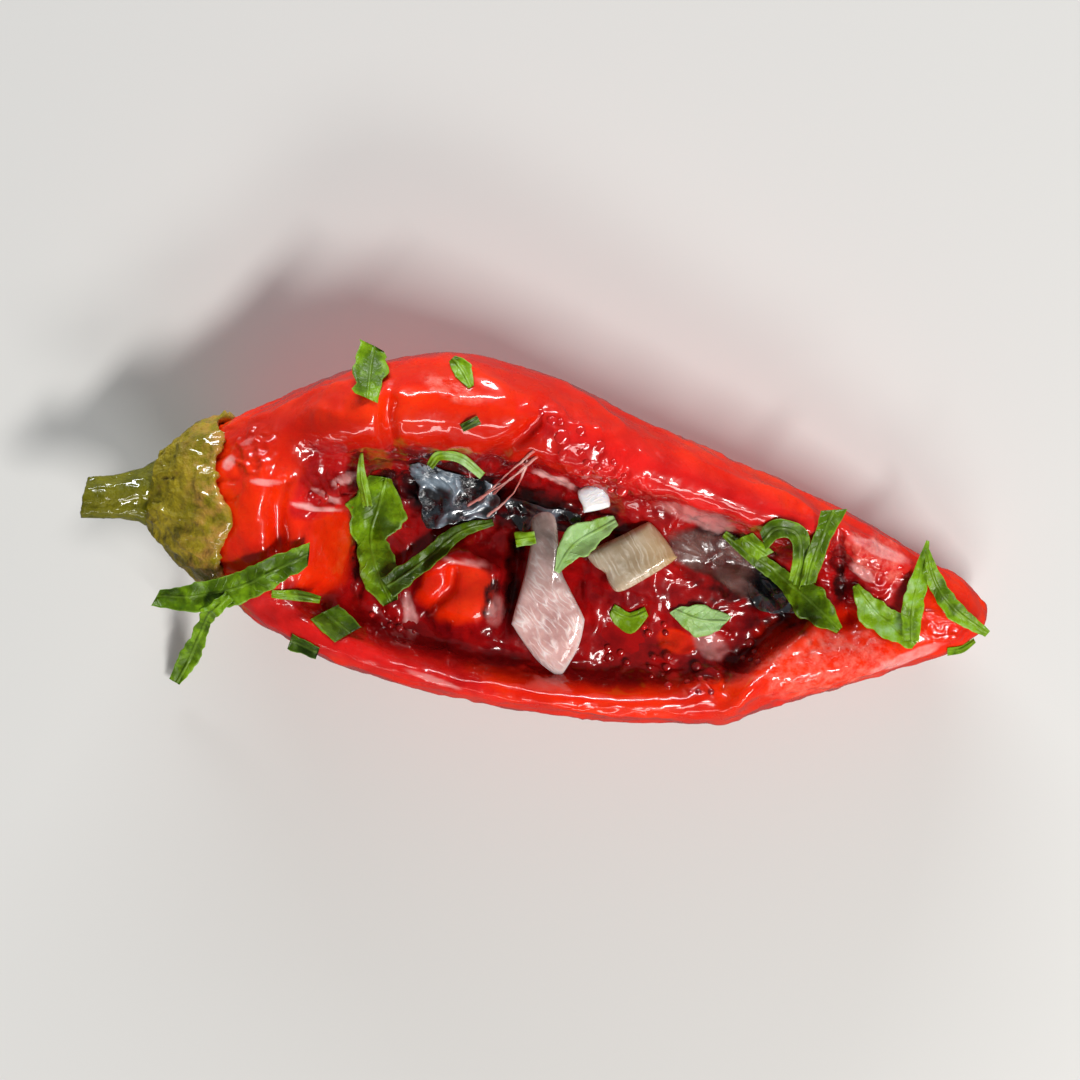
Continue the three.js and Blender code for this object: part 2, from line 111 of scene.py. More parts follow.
# Creases and folds of the top: lift, width and the points that each runs through.
FOLDS = (
    (-1.9, 0.8, ((16.1, 17.5), (16.4, 12), (17.4, 8.5))),  # crease across the shoulder
    (-1.3, 1.0, ((6.9, 2.9), (6.7, 0.5), (7.8, -5))),  # crease beside the collar
    (0.9, 0.7, ((10.4, 0.7), (13.2, 1.4))),
    (0.9, 0.7, ((10.8, 1.9), (13.3, 4.3))),
    (-1.7, 1.2, ((15.3, 1), (15.6, -8))),  # gap behind the lobe
    (1.2, 1.0, ((29.4, 4), (33, 4.2), (36.9, 3.6))),  # black fold
    (1.2, 0.9, ((22.8, -3.6), (26.2, -2.3), (30.0, -3.0))),  # crest of the lump
    (-0.9, 0.6, ((23.2, -8.6), (25.4, -5.6), (25.2, -3.4))),  # wrinkle across it
    (0.9, 0.8, ((18.0, -4.6), (18.8, -7.0), (20.4, -9.6))),  # crumpled skin beside it
    (0.8, 0.9, ((29.6, -3.2), (30.0, -7.6))),  # its far side
    (-1.5, 0.9, ((31.3, 0), (31.5, -9))),  # crease behind the lump
    # groove inside the thin fold
    (-1.8, 1.7, ((12, -8.5), (21, -11.3), (30, -12.2), (40, -12), (50, -10.8))),
    (1.5, 1.1, ((55.9, -14.3), (58.5, -8), (63, -3))),  # ridge to the corner of the rim
    (-1.1, 0.9, ((54.9, -10.4), (56.6, -7.6), (60.6, -3.2))),  # groove beside that ridge
    (-1.9, 0.9, ((63.6, 8), (64.8, 3.4), (66.4, -1.5))),  # crease across the tip's shoulder
    (-1.6, 0.9, ((27.5, 9), (31.4, 13.6), (32.4, 17.5))),  # sharp end of the broad shoulder
    (-1.6, 1.6, ((14, 5.2), (20, 4.8), (29, 5.8))),  # hollow below the shoulder
)


def smoothstep(value, low, high):
    t = np.clip((value - low) / (high - low), 0, 1)
    return t * t * (3 - 2 * t)


def mix(a, b, share):
    return a + (b - a) * share


def hermite(t, start, end, start_slope, end_slope):
    """A smooth curve from start to end, while t runs from 0 to 1."""
    return (
        (2 * t**3 - 3 * t**2 + 1) * start + (t**3 - 2 * t**2 + t) * start_slope
        + (3 * t**2 - 2 * t**3) * end + (t**3 - t**2) * end_slope
    )


def unit(vectors):
    return vectors / np.maximum(np.linalg.norm(vectors, axis=-1, keepdims=True), 1e-9)


def turned_axes(x, y, degrees):
    """x and y along axes that are turned by so many degrees."""
    c, s = math.cos(math.radians(degrees)), math.sin(math.radians(degrees))
    return x * c + y * s, y * c - x * s


def along(column, x):
    """One station column at every x, on a smooth curve through the stations."""
    at, value = STATIONS[:, [0, STATION_COLUMNS.index(column)]].T
    padded = np.pad((at, value), ((0, 0), (1, 1)), mode="edge")
    run, rise = padded[:, 2:] - padded[:, :-2]
    slope = rise / run
    share = np.minimum(x / BODY_LENGTH, 1)
    i = np.clip(np.searchsorted(at, share, side="right") - 1, 0, len(at) - 2)
    width = at[i + 1] - at[i]
    t = np.clip((share - at[i]) / width, 0, 1)
    curve = hermite(t, value[i], value[i + 1], width * slope[i], width * slope[i + 1])
    return curve + np.minimum(share, 0) * slope[0]


def end_share(x, bluntness):
    """1 along the body, falling to 0 at both ends; the calyx end is as blunt as asked."""
    dome = np.clip(1 - np.clip(-x / END_DOME, 0, 1) ** bluntness, 0, 1) ** (1 / bluntness)
    into_tip = np.maximum(x - (BODY_LENGTH - TIP_ROUND), 0) / TIP_ROUND
    return np.where(x < 0, dome, np.sqrt(np.clip(1 - into_tip**2, 0, 1)))


def slumped_half(side, width, crest, base, roll, floor):
    """Control points (y, z) of one half of a slumped section, from the belly over the crest to the floor."""
    height = crest - base
    drop = crest - floor
    belly = base - REST_SPOT
    controls = [
        (0.34 * width, belly),
        (0.7 * width, base + 0.06 * height),
        (0.99 * width, base + 0.32 * height),
        (1.05 * width, base + 0.62 * height),
        (width - 0.08 * roll, crest - 0.08 * height),
        (width - 0.5 * roll, crest + 0.05 * height),
        (width - 0.88 * roll, crest - 0.2 * drop),
        (width - 1.0 * roll, crest - 0.7 * drop),
        (0.5 * (width - 1.2 * roll), floor),
    ]
    return [np.stack((side * y, z), axis=-1) for y, z in controls]


def section_polygons(x):
    """Control polygons (y, z) of the sections at every x, as an array of (x, control, 2)."""
    base = along("base", x) * BODY_HEIGHT
    crests = [along(c, x) * BODY_HEIGHT for c in ("crest_s", "crest_n")]
    widths = [along(c, x) * HALF_WIDTH for c in ("south", "north")]
    rolls = [along(c, x) * w for c, w in zip(("roll_s", "roll_n"), widths)]
    floor = 0.5 * (crests[0] + crests[1]) - along("sink", x) * BODY_HEIGHT
    south = slumped_half(-1, widths[0], crests[0], base, rolls[0], floor)
    north = slumped_half(1, widths[1], crests[1], base, rolls[1], floor)
    belly = np.stack((0 * x, base - REST_SPOT), axis=-1)
    middle_floor = np.stack((0 * x, floor), axis=-1)
    slumped = np.stack([belly, *north, middle_floor, *south[::-1]], axis=1)

    count = slumped.shape[1]
    turned = (np.arange(count) / count - 0.25) * TURN
    across = np.cos(turned)
    is_north = across >= 0
    width = END_SWELL * np.where(is_north, widths[1][:, None], widths[0][:, None])
    crest = np.where(is_north, crests[1][:, None], crests[0][:, None])
    middle = 0.5 * (base + np.maximum(*crests))[:, None]
    round_y = width * across
    round_z = middle + END_SWELL * np.sin(turned) * 0.5 * (crest - base[:, None])
    roundness = np.clip(along("round", x), 0, 1)[:, None]
    end = end_share(x[:, None], END_BLUNTNESS + END_SKEW * across)
    y = end * mix(slumped[..., 0], round_y, roundness)
    z = middle + end * (mix(slumped[..., 1], round_z, roundness) - middle)
    return np.stack((y, z), axis=-1)


def on_spline(polygons, around):
    """Points of the closed cubic B-splines, one for each polygon, as an array of (point, 2)."""
    count = polygons.shape[1]
    place = around * count
    i = np.floor(place).astype(int)
    t = (place - i)[:, None]
    each = np.arange(len(polygons))
    weights = ((1 - t) ** 3, 3 * t**3 - 6 * t**2 + 4, -3 * t**3 + 3 * t**2 + 3 * t + 1, t**3)
    return sum(w / 6 * polygons[each, (i + k - 1) % count] for k, w in enumerate(weights))


def path_distance(x, y, path):
    """Distance from every point to the nearest of the path's straight stretches."""
    nearest = np.full(np.shape(x), 1e9)
    for (ax, ay), (bx, by) in zip(path, path[1:]):
        along_x, along_y = bx - ax, by - ay
        t = np.clip(((x - ax) * along_x + (y - ay) * along_y) / (along_x**2 + along_y**2), 0, 1)
        nearest = np.minimum(nearest, np.hypot(x - ax - t * along_x, y - ay - t * along_y))
    return nearest


def top_lift(x, y):
    """How far the lumps and folds lift the top of the flesh."""
    lift = 0 * x
    for lump_x, lump_y, long, wide, turn, height, edge in LUMPS:
        u, v = turned_axes(x - lump_x, y - lump_y, turn)
        lift = lift + height * np.exp(-(((u / long) ** 2 + (v / wide) ** 2) ** edge))
    for height, wide, path in FOLDS:
        lift = lift + height * np.exp(-((path_distance(x, y, path) / wide) ** 2))
    return lift


def unevenness(x, y):
    slow = 0.45 * np.sin(x / 3.1 + y / 5)
    return slow + 0.35 * np.sin(x / 1.7 - y / 3.3 + 1) + 0.25 * np.sin(y / 2.2 + x / 6)


def upness(around):
    """-1 at the belly, 1 in the middle of the basin."""
    return np.sin((around - 0.25) * TURN)


def skin(x, around):
    """Points of the skin in millimetres, with an axis of 3 added to the shape of x and around."""
    x, around = np.broadcast_arrays(np.asarray(x, float), np.asarray(around, float))
    flat_x, flat_around = x.ravel(), around.ravel() % 1
    y, z = on_spline(section_polygons(flat_x), flat_around).T
    slumped = smoothstep(flat_x, *SLUMP_START) * (1 - smoothstep(flat_x, *SLUMP_END))
    up = upness(flat_around)
    lift = smoothstep(up, -0.1, 0.45) * top_lift(flat_x, y) + smoothstep(up, 0.5, 0.8) * unevenness(flat_x, y)
    z = np.maximum(z + slumped * lift, 0)
    return np.stack((flat_x, y, z), axis=-1).reshape(*x.shape, 3)


def above_skin(x, around, height):
    """Points above the skin, at heights measured square to it."""
    step = 0.02  # millimetres along the skin, and turns around it
    lengthwise = skin(x + step, around) - skin(x - step, around)
    crosswise = skin(x, around + step) - skin(x, around - step)
    return skin(x, around) + unit(np.cross(crosswise, lengthwise)) * np.asarray(height)[..., None]


# ---- Noise on arrays of points ----
LATTICE = np.random.RandomState(7).permutation(256)
DIRECTIONS = unit(np.random.RandomState(11).normal(size=(256, 3)))
RIDGE_MEAN = 0.3


def hashed(cell, seed):
    h = LATTICE[(cell[..., 0] + seed) & 255]
    h = LATTICE[(h + cell[..., 1]) & 255]
    return LATTICE[(h + cell[..., 2]) & 255]


def noise(points, size, seed):
    """Smooth noise from about -1 to 1, with lumps of about "size"."""
    p = points / size
    cell = np.floor(p).astype(int)
    f = p - cell
    fade = f**3 * (f * (f * 6 - 15) + 10)
    total = 0
    for corner in np.ndindex(2, 2, 2):
        c = np.array(corner)
        gradient = DIRECTIONS[hashed(cell + c, seed)]
        weight = np.prod(np.where(c, fade, 1 - fade), axis=-1)
        total = total + weight * np.sum(gradient * (f - c), axis=-1)
    return 1.6 * total


def ridges(points, size, seed):
    """From 0 to 1, with sharp crests along wandering lines."""
    return (1 - np.minimum(np.abs(noise(points, size, seed)) * 1.6, 1)) ** 2


def wrinkles(points, size, seed):
    """Ridges that lift a surface about as much as they lower it."""
    return ridges(points, size, seed) - RIDGE_MEAN


def cell_edges(points, size, seed):
    """Distance to the border between scattered cells of about "size", 0 on the border."""
    p = points / size
    cell = np.floor(p).astype(int)
    near = np.full(p.shape[:-1], 9.0)
    second = near.copy()
    for offset in np.ndindex(3, 3, 3):
        c = cell + np.array(offset) - 1
        d = np.linalg.norm(c + 0.5 + 0.45 * DIRECTIONS[hashed(c, seed)] - p, axis=-1)
        second = np.minimum(second, np.maximum(near, d))
        near = np.minimum(near, d)
    return second - near


def warped(points, size, amount, seed):
    return points + amount * np.stack([noise(points, size, seed + s) for s in range(3)], axis=-1)


def on_plane(place):
    """Flat points (x, y) as points in space."""
    return np.concatenate((place, 0 * place[..., :1]), axis=-1)


# ---- Meshes ----
FLESH_LOW, FLESH_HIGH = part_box("pepper_flesh")
OUTLINE_Y = skin(np.linspace(0, BODY_LENGTH, 90)[:, None], np.linspace(0, 1, 44, endpoint=False))[..., 1]
# From body millimetres to the frame's millimetres.
TO_FRAME = np.array((FLESH_HIGH.x / MM - BODY_LENGTH, FLESH_LOW.y / MM - OUTLINE_Y.min(), 0))


def new_object(name, data):
    thing = bpy.data.objects.new(name, data)
    bpy.context.scene.collection.objects.link(thing)
    return thing


def make_piece(name, points, faces, masks, material, slot, replaces=()):
    """A smooth mesh piece from body millimetres; it rides on the only body."""
    mesh = bpy.data.meshes.new(name)
    mesh.from_pydata(((np.asarray(points) + TO_FRAME) * MM).tolist(), [], faces)
    mesh.update()
    mesh.polygons.foreach_set("use_smooth", np.ones(len(mesh.polygons), bool))
    mesh.materials.append(material)
    for mask, values in masks.items():
        attribute = mesh.attributes.new(mask, "FLOAT", "POINT")
        attribute.data.foreach_set("value", np.asarray(values, np.float32))
    piece = new_object(name, mesh)
    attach(piece, "root")
    if replaces:
        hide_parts(*replaces)


def loft_faces(rings, around):
    """Faces of a closed loft: the rings' points first, then the start point and the end point."""
    start, end = rings * around, rings * around + 1
    here = np.arange(start).reshape(rings, around)
    after = np.roll(here, -1, axis=1)
    quads = np.stack((here[:-1], after[:-1], after[1:], here[1:]), axis=-1)
    start_cap = [(start, j, i) for i, j in zip(here[0], after[0])]
    end_cap = [(end, i, j) for i, j in zip(here[-1], after[-1])]
    return quads.reshape(-1, 4).tolist() + start_cap + end_cap


def closed_loft(grid):
    """Points and faces of the closed loft through a grid of (ring, around, 3)."""
    rings, around = grid.shape[:2]
    points = np.concatenate((grid.reshape(-1, 3), [grid[0].mean(axis=0), grid[-1].mean(axis=0)]))
    return points, loft_faces(rings, around)


def with_ends(values, start=0.0, end=0.0):
    """Values for a closed loft's points: those of its rings, then those of its start and end."""
    return np.append(np.ravel(values), (start, end))


def joined(parts):
    """One mesh and its masks, from several parts of (points, faces, masks)."""
    faces, base = [], 0
    for points, part_faces, _ in parts:
        faces += [[base + i for i in face] for face in part_faces]
        base += len(points)
    masks = {name: np.concatenate([part[2][name] for part in parts]) for name in parts[0][2]}
    return np.concatenate([part[0] for part in parts]), faces, masks


def vertex_normals(grid):
    """Outward normals of a closed loft's grid of (ring, around, 3)."""
    crosswise = np.roll(grid, -1, axis=1) - np.roll(grid, 1, axis=1)
    return unit(np.cross(crosswise, np.gradient(grid, axis=0)))


CURVE_STEPS = 24  # between two of a curve's points


def smooth_curve(points, count, closed=False):
    """Points evenly spread along a smooth curve through the given ones."""
    p = np.asarray(points, float)
    before = p[-1] if closed else 2 * p[0] - p[1]
    after = p[0] if closed else 2 * p[-1] - p[-2]
    padded = np.vstack((before, p, after))
    slope = 0.5 * (padded[2:] - padded[:-2])
    t = np.linspace(0, 1, CURVE_STEPS, endpoint=False)[None, :, None]
    i = np.arange(len(p) if closed else len(p) - 1)
    j = (i + 1) % len(p)
    dense = hermite(t, p[i, None], p[j, None], slope[i, None], slope[j, None]).reshape(-1, p.shape[1])
    dense = np.vstack((dense, p[:1] if closed else p[-1:]))
    length = np.r_[0, np.cumsum(np.linalg.norm(np.diff(dense[:, :2], axis=0), axis=1))]
    wanted = np.linspace(0, length[-1], count, endpoint=not closed)
    return np.stack([np.interp(wanted, length, dense[:, k]) for k in range(p.shape[1])], axis=-1)


SKY = 60.0  # the height from which rays look down


class Ground:
    """What the loose pieces are laid on: the highest point below a place, or the table."""

    def __init__(self):
        self.trees = []

    def add(self, points, faces):
        self.trees.append(BVHTree.FromPolygons(np.asarray(points).tolist(), faces))

    def height(self, place):
        heights = np.zeros(place.shape[:-1])
        for i in np.ndindex(heights.shape):
            for tree in self.trees:
                hit = tree.ray_cast(Vector((*place[i], SKY)), Vector((0, 0, -1)))[0]
                if hit is not None:
                    heights[i] = max(heights[i], hit.z)
        return heights


ground = Ground()
flesh_ground = Ground()


def patches(grid, ovals, raggedness):
    """Oval patches of the skin seen from above: each one's strength inside it, and 0 past its ragged edge."""
    strongest = 0
    for x, y, long, wide, turn, *strength in ovals:
        u, v = turned_axes(grid[..., 0] - x, grid[..., 1] - y, turn)
        inside = 1 - smoothstep(np.hypot(u / long, v / wide) + raggedness, 0.75, 1.15)
        strongest = np.maximum(strongest, np.prod(strength) * inside)
    return strongest


# ---- Flesh ----
BODY_RINGS = 410
BODY_AROUND = 236
END_CROWDING = 0.3  # how much closer the rings lie near the ends
TOP_DENSITY = 0.42  # how much closer the points of a ring lie on the top than on the belly

# Patches of the skin: how ragged they are, and each one's x, y, length, width, turn and strength, if not 1.
PATCHES = {
    "char": (0.3, (
        (24.0, 3.4, 5.6, 2.9, 4), (33.4, 3.3, 4.6, 1.7, 2), (52.6, 2.6, 4.0, 1.8, -25),
        (57.4, -0.4, 3.8, 2.2, -38),
    )),
    # Scorch, and painted shade: dark patches in the hollow under the shoulder, in the gaps beside the lobe
    # and the lump, and in the groove at the tip.
    "scorch_and_shade": (0.4, (
        (64.6, 3.4, 0.9, 4.2, 12), (21.5, 4.6, 10.5, 3.6, 2), (36, 3.6, 8, 3.2, -8), (54, 1.4, 8.5, 3.6, -28),
        (15.4, -3.4, 5.0, 1.2, -87), (31.4, -3.6, 5.0, 0.9, -88), (29.8, -5.8, 0.9, 2.0, -5),
    )),
    # Taut orange-red skin that shows inside the basin too; there the basin's dark wet red and painted shade
    # are left out.
    "bright": (0.12, (
        (3.2, -0.6, 4.6, 9.0, 0), (26.0, -5.8, 4.2, 3.4, 12), (11.0, -2.8, 6.2, 3.6, -76),
        (65.0, -5.6, 8.5, 4.6, 17), (49.4, -7.3, 2.2, 1.3, 0),
    )),
    # Slack crimson skin outside the basin, and painted shade on the south flank by the calyx.
    "crimson_and_shade": (0.2, (
        (46, 10.4, 18.0, 7.0, -25), (66.5, 4.6, 8.5, 4.2, -26), (11.5, 2.8, 4.2, 2.6, 30),
        (22, -14, 12, 2.6, -10), (10.0, -12.0, 6.5, 2.4, -28),
    )),
    # Skin with a fine grain, painted with a pale mottled sheen in place of broad highlights.
    "grain_and_sheen": (0.3, (
        (65.4, -6.6, 8.0, 3.2, 17), (22.4, 15.6, 3.6, 0.9, -14), (68.0, 5.2, 4.0, 1.8, -20),
    )),
    # Painted highlights: pale streaks and patches along crests, creases, rims and wet slopes.
    "painted_highlight": (0.25, (
        (34.4, 7.7, 2.3, 0.6, -14, 0.9),
        (49.3, 6.3, 4.4, 1.0, -10, 0.35),
        (21.6, -9.4, 0.8, 2.3, 20, 0.7),
        (30.2, -7.2, 0.7, 1.8, 0, 0.4),
        (26.6, -2.7, 2.6, 0.2, 2, 0.6),  # crest of the lump
        (68.2, 6.0, 3.4, 0.6, -15, 0.5),
        (67.0, 3.4, 1.6, 0.7, -30, 0.5),
        (5.4, 2.9, 1.7, 0.3, 4, 0.6),  # crease beside the collar
        (0.9, 3.9, 0.9, 0.6, 70, 0.7),
        (2.6, 6.4, 0.9, 0.35, 40, 0.4),
        (10.4, 0.9, 2.2, 0.26, -4, 0.8),  # folds of the wall by the calyx
        (11.1, 2.1, 1.7, 0.26, -24, 0.8),
        (12.6, 3.9, 1.1, 0.5, 30, 0.8),
        (25.5, -14.6, 2.9, 0.3, -10, 0.4),  # thin fold's rim
        (73.4, -4.7, 4.2, 0.7, 29, 0.55),
        (52.9, -7.0, 2.0, 1.3, -30, 0.4),
    )),
    # Skin that has shrunk into small glossy wrinkles.
    "wrinkled": (0.2, (
        (11.6, 3.0, 3.0, 2.0, 20), (19.0, -7.0, 1.8, 3.2, 10), (55.6, -6.0, 2.6, 2.4, 30),
        (65.5, 4.0, 5.5, 2.6, -30), (37.0, 11.6, 8.5, 3.0, -32), (51.0, -9.4, 4.5, 2.0, -12),
        (76.5, -0.5, 3.5, 2.0, -10), (3.5, 5.6, 2.4, 2.4, 0),
    )),
}
SHADER_MASKS = ("deep", "char", "scorch_and_shade", "crimson_and_shade", "grain_and_sheen", "inner", "painted_highlight")


def skin_masks(grid, normal, up, long_folds):
    """How strong each look of the skin is at every point."""
    x, y = grid[..., 0], grid[..., 1]
    facing_up = smoothstep(normal[..., 2], -0.3, 0.5)
    ragged = noise(grid, 2.2, 40) + 0.6 * noise(grid, 0.9, 41)
    mask = {"side": 1 - smoothstep(up, 0.2, 0.5)}
    for name, (raggedness, ovals) in PATCHES.items():
        shown = smoothstep(up, -0.25, 0.35) if name == "crimson_and_shade" else facing_up
        mask[name] = patches(grid, ovals, raggedness * ragged) * shown
    basin = smoothstep(x, *BASIN_START) * (1 - smoothstep(x, *BASIN_END))
    # The inside of the basin: a darker wet red, partly painted shade of the recess.
    mask["deep"] = smoothstep(up, 0.42, 0.75) * basin * (1 - mask["bright"])
    # Painted shade: the inner side of the broad shoulder and the hollows of the flanks are painted darker
    # than the crests.
    inner = smoothstep(up, 0.2, 0.55) * smoothstep(y, 3, 7) * (1 - mask["deep"])
    mask["inner"] = np.maximum(inner, 0.4 * mask["side"] * smoothstep(-long_folds, -0.3, 0.3))
    return mask


def skin_relief(grid, bent, long_folds, mask):
    """Height of the fine relief, square to the skin."""
    short_folds = wrinkles(warped(grid, 9, 2.0, 24) * (0.16, 1, 1), 1.2, 23)
    near_calyx = 1 - smoothstep(grid[..., 0], 1, 7)
    blister_edges = 1 - smoothstep(cell_edges(warped(grid, 2.5, 0.5, 20), 2.4, 12), 0.0, 0.3)
    relief = 0.16 * noise(grid, 5, 9) + 0.11 * noise(bent, 2.4, 18) + 0.05 * noise(bent, 1.1, 13)
    relief -= near_calyx * 0.25 * ridges(grid * (0.2, 1, 1), 2.2, 14)
    for name, folds in (
        ("side", 0.36 * long_folds + 0.12 * short_folds),
        ("deep", 0.42 * wrinkles(bent, 4.4, 5) + 0.18 * wrinkles(bent, 1.7, 6)),
        ("deep", 0.11 * wrinkles(bent, 0.9, 21)),
        ("wrinkled", 0.42 * wrinkles(bent, 2.6, 16) + 0.2 * wrinkles(bent, 1.2, 17)),
        ("grain_and_sheen", 0.09 * noise(grid, 1.2, 19) + 0.07 * wrinkles(grid, 0.8, 22)),
        ("char", 0.25 * blister_edges + 0.12 * ridges(bent, 1.6, 15)),
    ):
        relief += mask[name] * folds
    return relief * smoothstep(grid[..., 2], 0.02, 1.5)


def make_flesh():
    share = np.arange(1, BODY_RINGS) / BODY_RINGS
    crowded = 0.5 - 0.5 * np.cos(math.pi * share)
    ring_x = mix(-END_DOME, BODY_LENGTH, mix(share, crowded, END_CROWDING))
    turn = np.arange(BODY_AROUND) / BODY_AROUND
    around = turn + TOP_DENSITY * np.sin(TURN * turn) / TURN
    grid = skin(ring_x[:, None], around[None, :])
    normal = vertex_normals(grid)
    up = np.broadcast_to(upness(around), grid.shape[:2])
    bent = warped(grid, 6, 1.2, 1)
    long_folds = wrinkles(bent * (0.28, 1, 1), 4.6, 8)
    mask = skin_masks(grid, normal, up, long_folds)
    grid = grid + normal * skin_relief(grid, bent, long_folds, mask)[..., None]
    grid[..., 2] = np.maximum(grid[..., 2], 0)

    ends = skin(np.array((-END_DOME, BODY_LENGTH)), np.zeros(2))
    points = np.concatenate((grid.reshape(-1, 3), ends))
    faces = loft_faces(*grid.shape[:2])
    ground.add(points, faces)
    flesh_ground.add(points, faces)
    masks = {name: with_ends(mask[name]) for name in SHADER_MASKS}
    make_piece("roasted_flesh", points, faces, masks, skin_material(), "flesh", ["pepper_flesh"])


# ---- Stalk: a ribbed stem that flares into a wrinkled cap with an uneven edge ----
STEM_TIP = np.array((-13.6, -2.9, 12.4))
STEM_ROOT = np.array((-END_DOME - 0.6, -1.4, 10.9))
STEM_RADII = (2.1, 3.1)  # at the cut end and at the cap
STEM_BOW = 0.5  # how far the middle of the stem is bent upwards
STEM_RIBS = ((5, 0.055, 0.7), (9, 0.02, 0.0))  # count, height as a share of the radius, place
STEM_RINGS = 26
STEM_END = (0.98, 1.12)  # where the flare starts, as shares of the stem's length and of its larger radius
# Rings of the cut end and its edge, as shares of the stem's length and of its smaller radius.
CUT_RINGS = ((0.03, 0.15), (0.03, 0.4), (0.03, 0.65), (0.015, 0.82), (0.0, 0.92))
CUT_EDGE = (0.01, 0.99)
CAP_BASE = 0.35  # height above the flesh from which the cap's thickness counts
CAP_THICK = 1.1
CAP_EDGE = 0.6  # x of the cap's edge on the top of the flesh, without its lobes
CAP_LEAN = 1.7  # how much further the edge reaches on the thin side, and less far on the broad one
CAP_START = -0.96 * END_DOME  # x of the cap's inner end, under the stem
CAP_FLARE = 0.6  # how far along the cap the stem's flare reaches
CAP_RINGS = 40
CAP_RIM = ((0.995, 0.96), (1.0, 0.56), (0.985, 0.29))  # share of the cap's reach, height above the flesh
UNDER_SHARES = (0.9, 0.7, 0.45, 0.2)  # the rings of the cap's underside, as shares of its reach
UNDER_HEIGHT = 0.2
CAP_RIBS = 5
RIB_HEIGHT = 0.9
# Lobes of the cap's edge: place around, width as a share of the turn, reach.
CAP_LOBES = ((0.53, 0.035, 2.0), (0.7, 0.05, 0.7), (0.36, 0.05, 0.8), (0.16, 0.06, 1.3), (0.92, 0.06, 1.1))
STALK_AROUND = 220
STALK_TURNS = np.arange(STALK_AROUND) / STALK_AROUND


def cap_reach(around):
    reach = CAP_EDGE - CAP_LEAN * np.sin(TURN * around)
    for place, wide, lobe in CAP_LOBES:
        away = np.abs((around - place + 0.5) % 1 - 0.5)
        reach = reach + lobe * np.exp(-((away / wide) ** 1.5))
    return reach


def stem_ring(share, radius):
    """Ring of the stem, round its bent axis; share runs from the cut end to the cap."""
    angle = (STALK_TURNS - 0.25) * TURN
    middle = mix(STEM_TIP, STEM_ROOT, share) + np.array((0, 0, STEM_BOW * math.sin(math.pi * share)))
    ribbed = radius * (1 + sum(height * np.cos(count * angle + place) for count, height, place in STEM_RIBS))
    return middle + np.stack((0 * angle, ribbed * np.cos(angle), ribbed * np.sin(angle)), axis=-1)


def cap_thickness(share):
    """Thickness of the cap all round; share runs from the stem to the edge."""
    rib = np.abs(np.cos(CAP_RIBS * 0.5 * TURN * STALK_TURNS + 0.5)) ** 3
    plain = CAP_THICK * (1.15 + 0.25 * math.sin(math.pi * share) - 0.75 * share**4)
    return plain + RIB_HEIGHT * (rib - 0.25) * (1 - 0.75 * smoothstep(share, 0.3, 0.9))


def cap_ring(share, height):
    return above_skin(mix(CAP_START, cap_reach(STALK_TURNS), share), STALK_TURNS, height)


def stalk_relief(grid, on_cut, on_stem, on_cap):
    """Height of the fine relief of the cut end, the stem and the cap, square to the surface."""
    bent = warped(grid, 3, 0.8, 50)
    ruffles = wrinkles(bent * (0.4, 1, 1), 3.0, 51)
    pits = wrinkles(bent, 1.0, 52)
    lumps = noise(grid, 3.4, 53)
    fibres = wrinkles(grid * (0.15, 1, 1), 0.9, 54)
    relief = on_cap * (0.55 * ruffles + 0.24 * pits + 0.3 * lumps)
    relief = relief + on_stem * (0.1 * fibres + 0.08 * pits + 0.16 * lumps)
    return relief + on_cut * 0.12 * noise(grid, 0.6, 55)


def make_stalk():
    thin, thick = STEM_RADII
    rings = [("cut", stem_ring(share, thin * radius)) for share, radius in CUT_RINGS]
    rings.append(("stem", stem_ring(CUT_EDGE[0], thin * CUT_EDGE[1])))
    for share in np.linspace(0.05, 0.86, STEM_RINGS):
        rings.append(("stem", stem_ring(share, mix(thin, thick, share**2))))
    before_cap = len(rings)
    stem_end = stem_ring(STEM_END[0], thick * STEM_END[1])
    for share in np.linspace(0.05, 0.97, CAP_RINGS):
        drawn_in = math.exp(-((share / CAP_FLARE) ** 2))
        rings.append(("cap", mix(cap_ring(share, CAP_BASE + cap_thickness(share)), stem_end, drawn_in)))
    rings += [("cap", cap_ring(share, height)) for share, height in CAP_RIM]
    rings += [("under", cap_ring(share, UNDER_HEIGHT)) for share in UNDER_SHARES]
    grid = np.array([ring for _, ring in rings])
    parts = np.array([part for part, _ in rings])[:, None]
    on_cut, on_stem, on_cap = (1.0 * (parts == part) for part in ("cut", "stem", "cap"))
    row = np.arange(len(rings))[:, None]
    cap_share = np.clip((row - before_cap) / CAP_RINGS, 0, 1) * np.ones(STALK_AROUND)
    relief = stalk_relief(grid, on_cut, on_stem, on_cap * smoothstep(cap_share, 0.05, 0.4))
    points, faces = closed_loft(grid + vertex_normals(grid) * relief[..., None])
    ground.add(points, faces)
    masks = {
        "edge": with_ends(on_cap * smoothstep(cap_share, 0.55, 1.0)),
        "cap": with_ends(on_cap * smoothstep(cap_share, 0.0, 0.3), end=1),
        "cut": with_ends(on_cut * np.ones_like(cap_share), start=1),
    }
    make_piece("cooked_stalk", points, faces, masks, stalk_material(), "stalk", ["stalk"])


# ---- Slabs: pieces of onion and films of loosened skin, laid on what is below them ----
def evened(values, rounds):
    """Values on the rings of a slab, evened out along and across the rings."""
    for _ in range(rounds):
        values = 0.5 * values + 0.25 * (np.roll(values, 1, axis=1) + np.roll(values, -1, axis=1))
        values[1:-1] = 0.5 * values[1:-1] + 0.25 * (values[:-2] + values[2:])
        values[0] = values[0].mean()
    return values


def placed(flat, x, y, turn):
    """Flat points of a piece, turned and moved to their place on the pepper."""
    u, v = turned_axes(flat[..., 0], flat[..., 1], -turn)
    return np.stack((x + u, y + v), axis=-1)


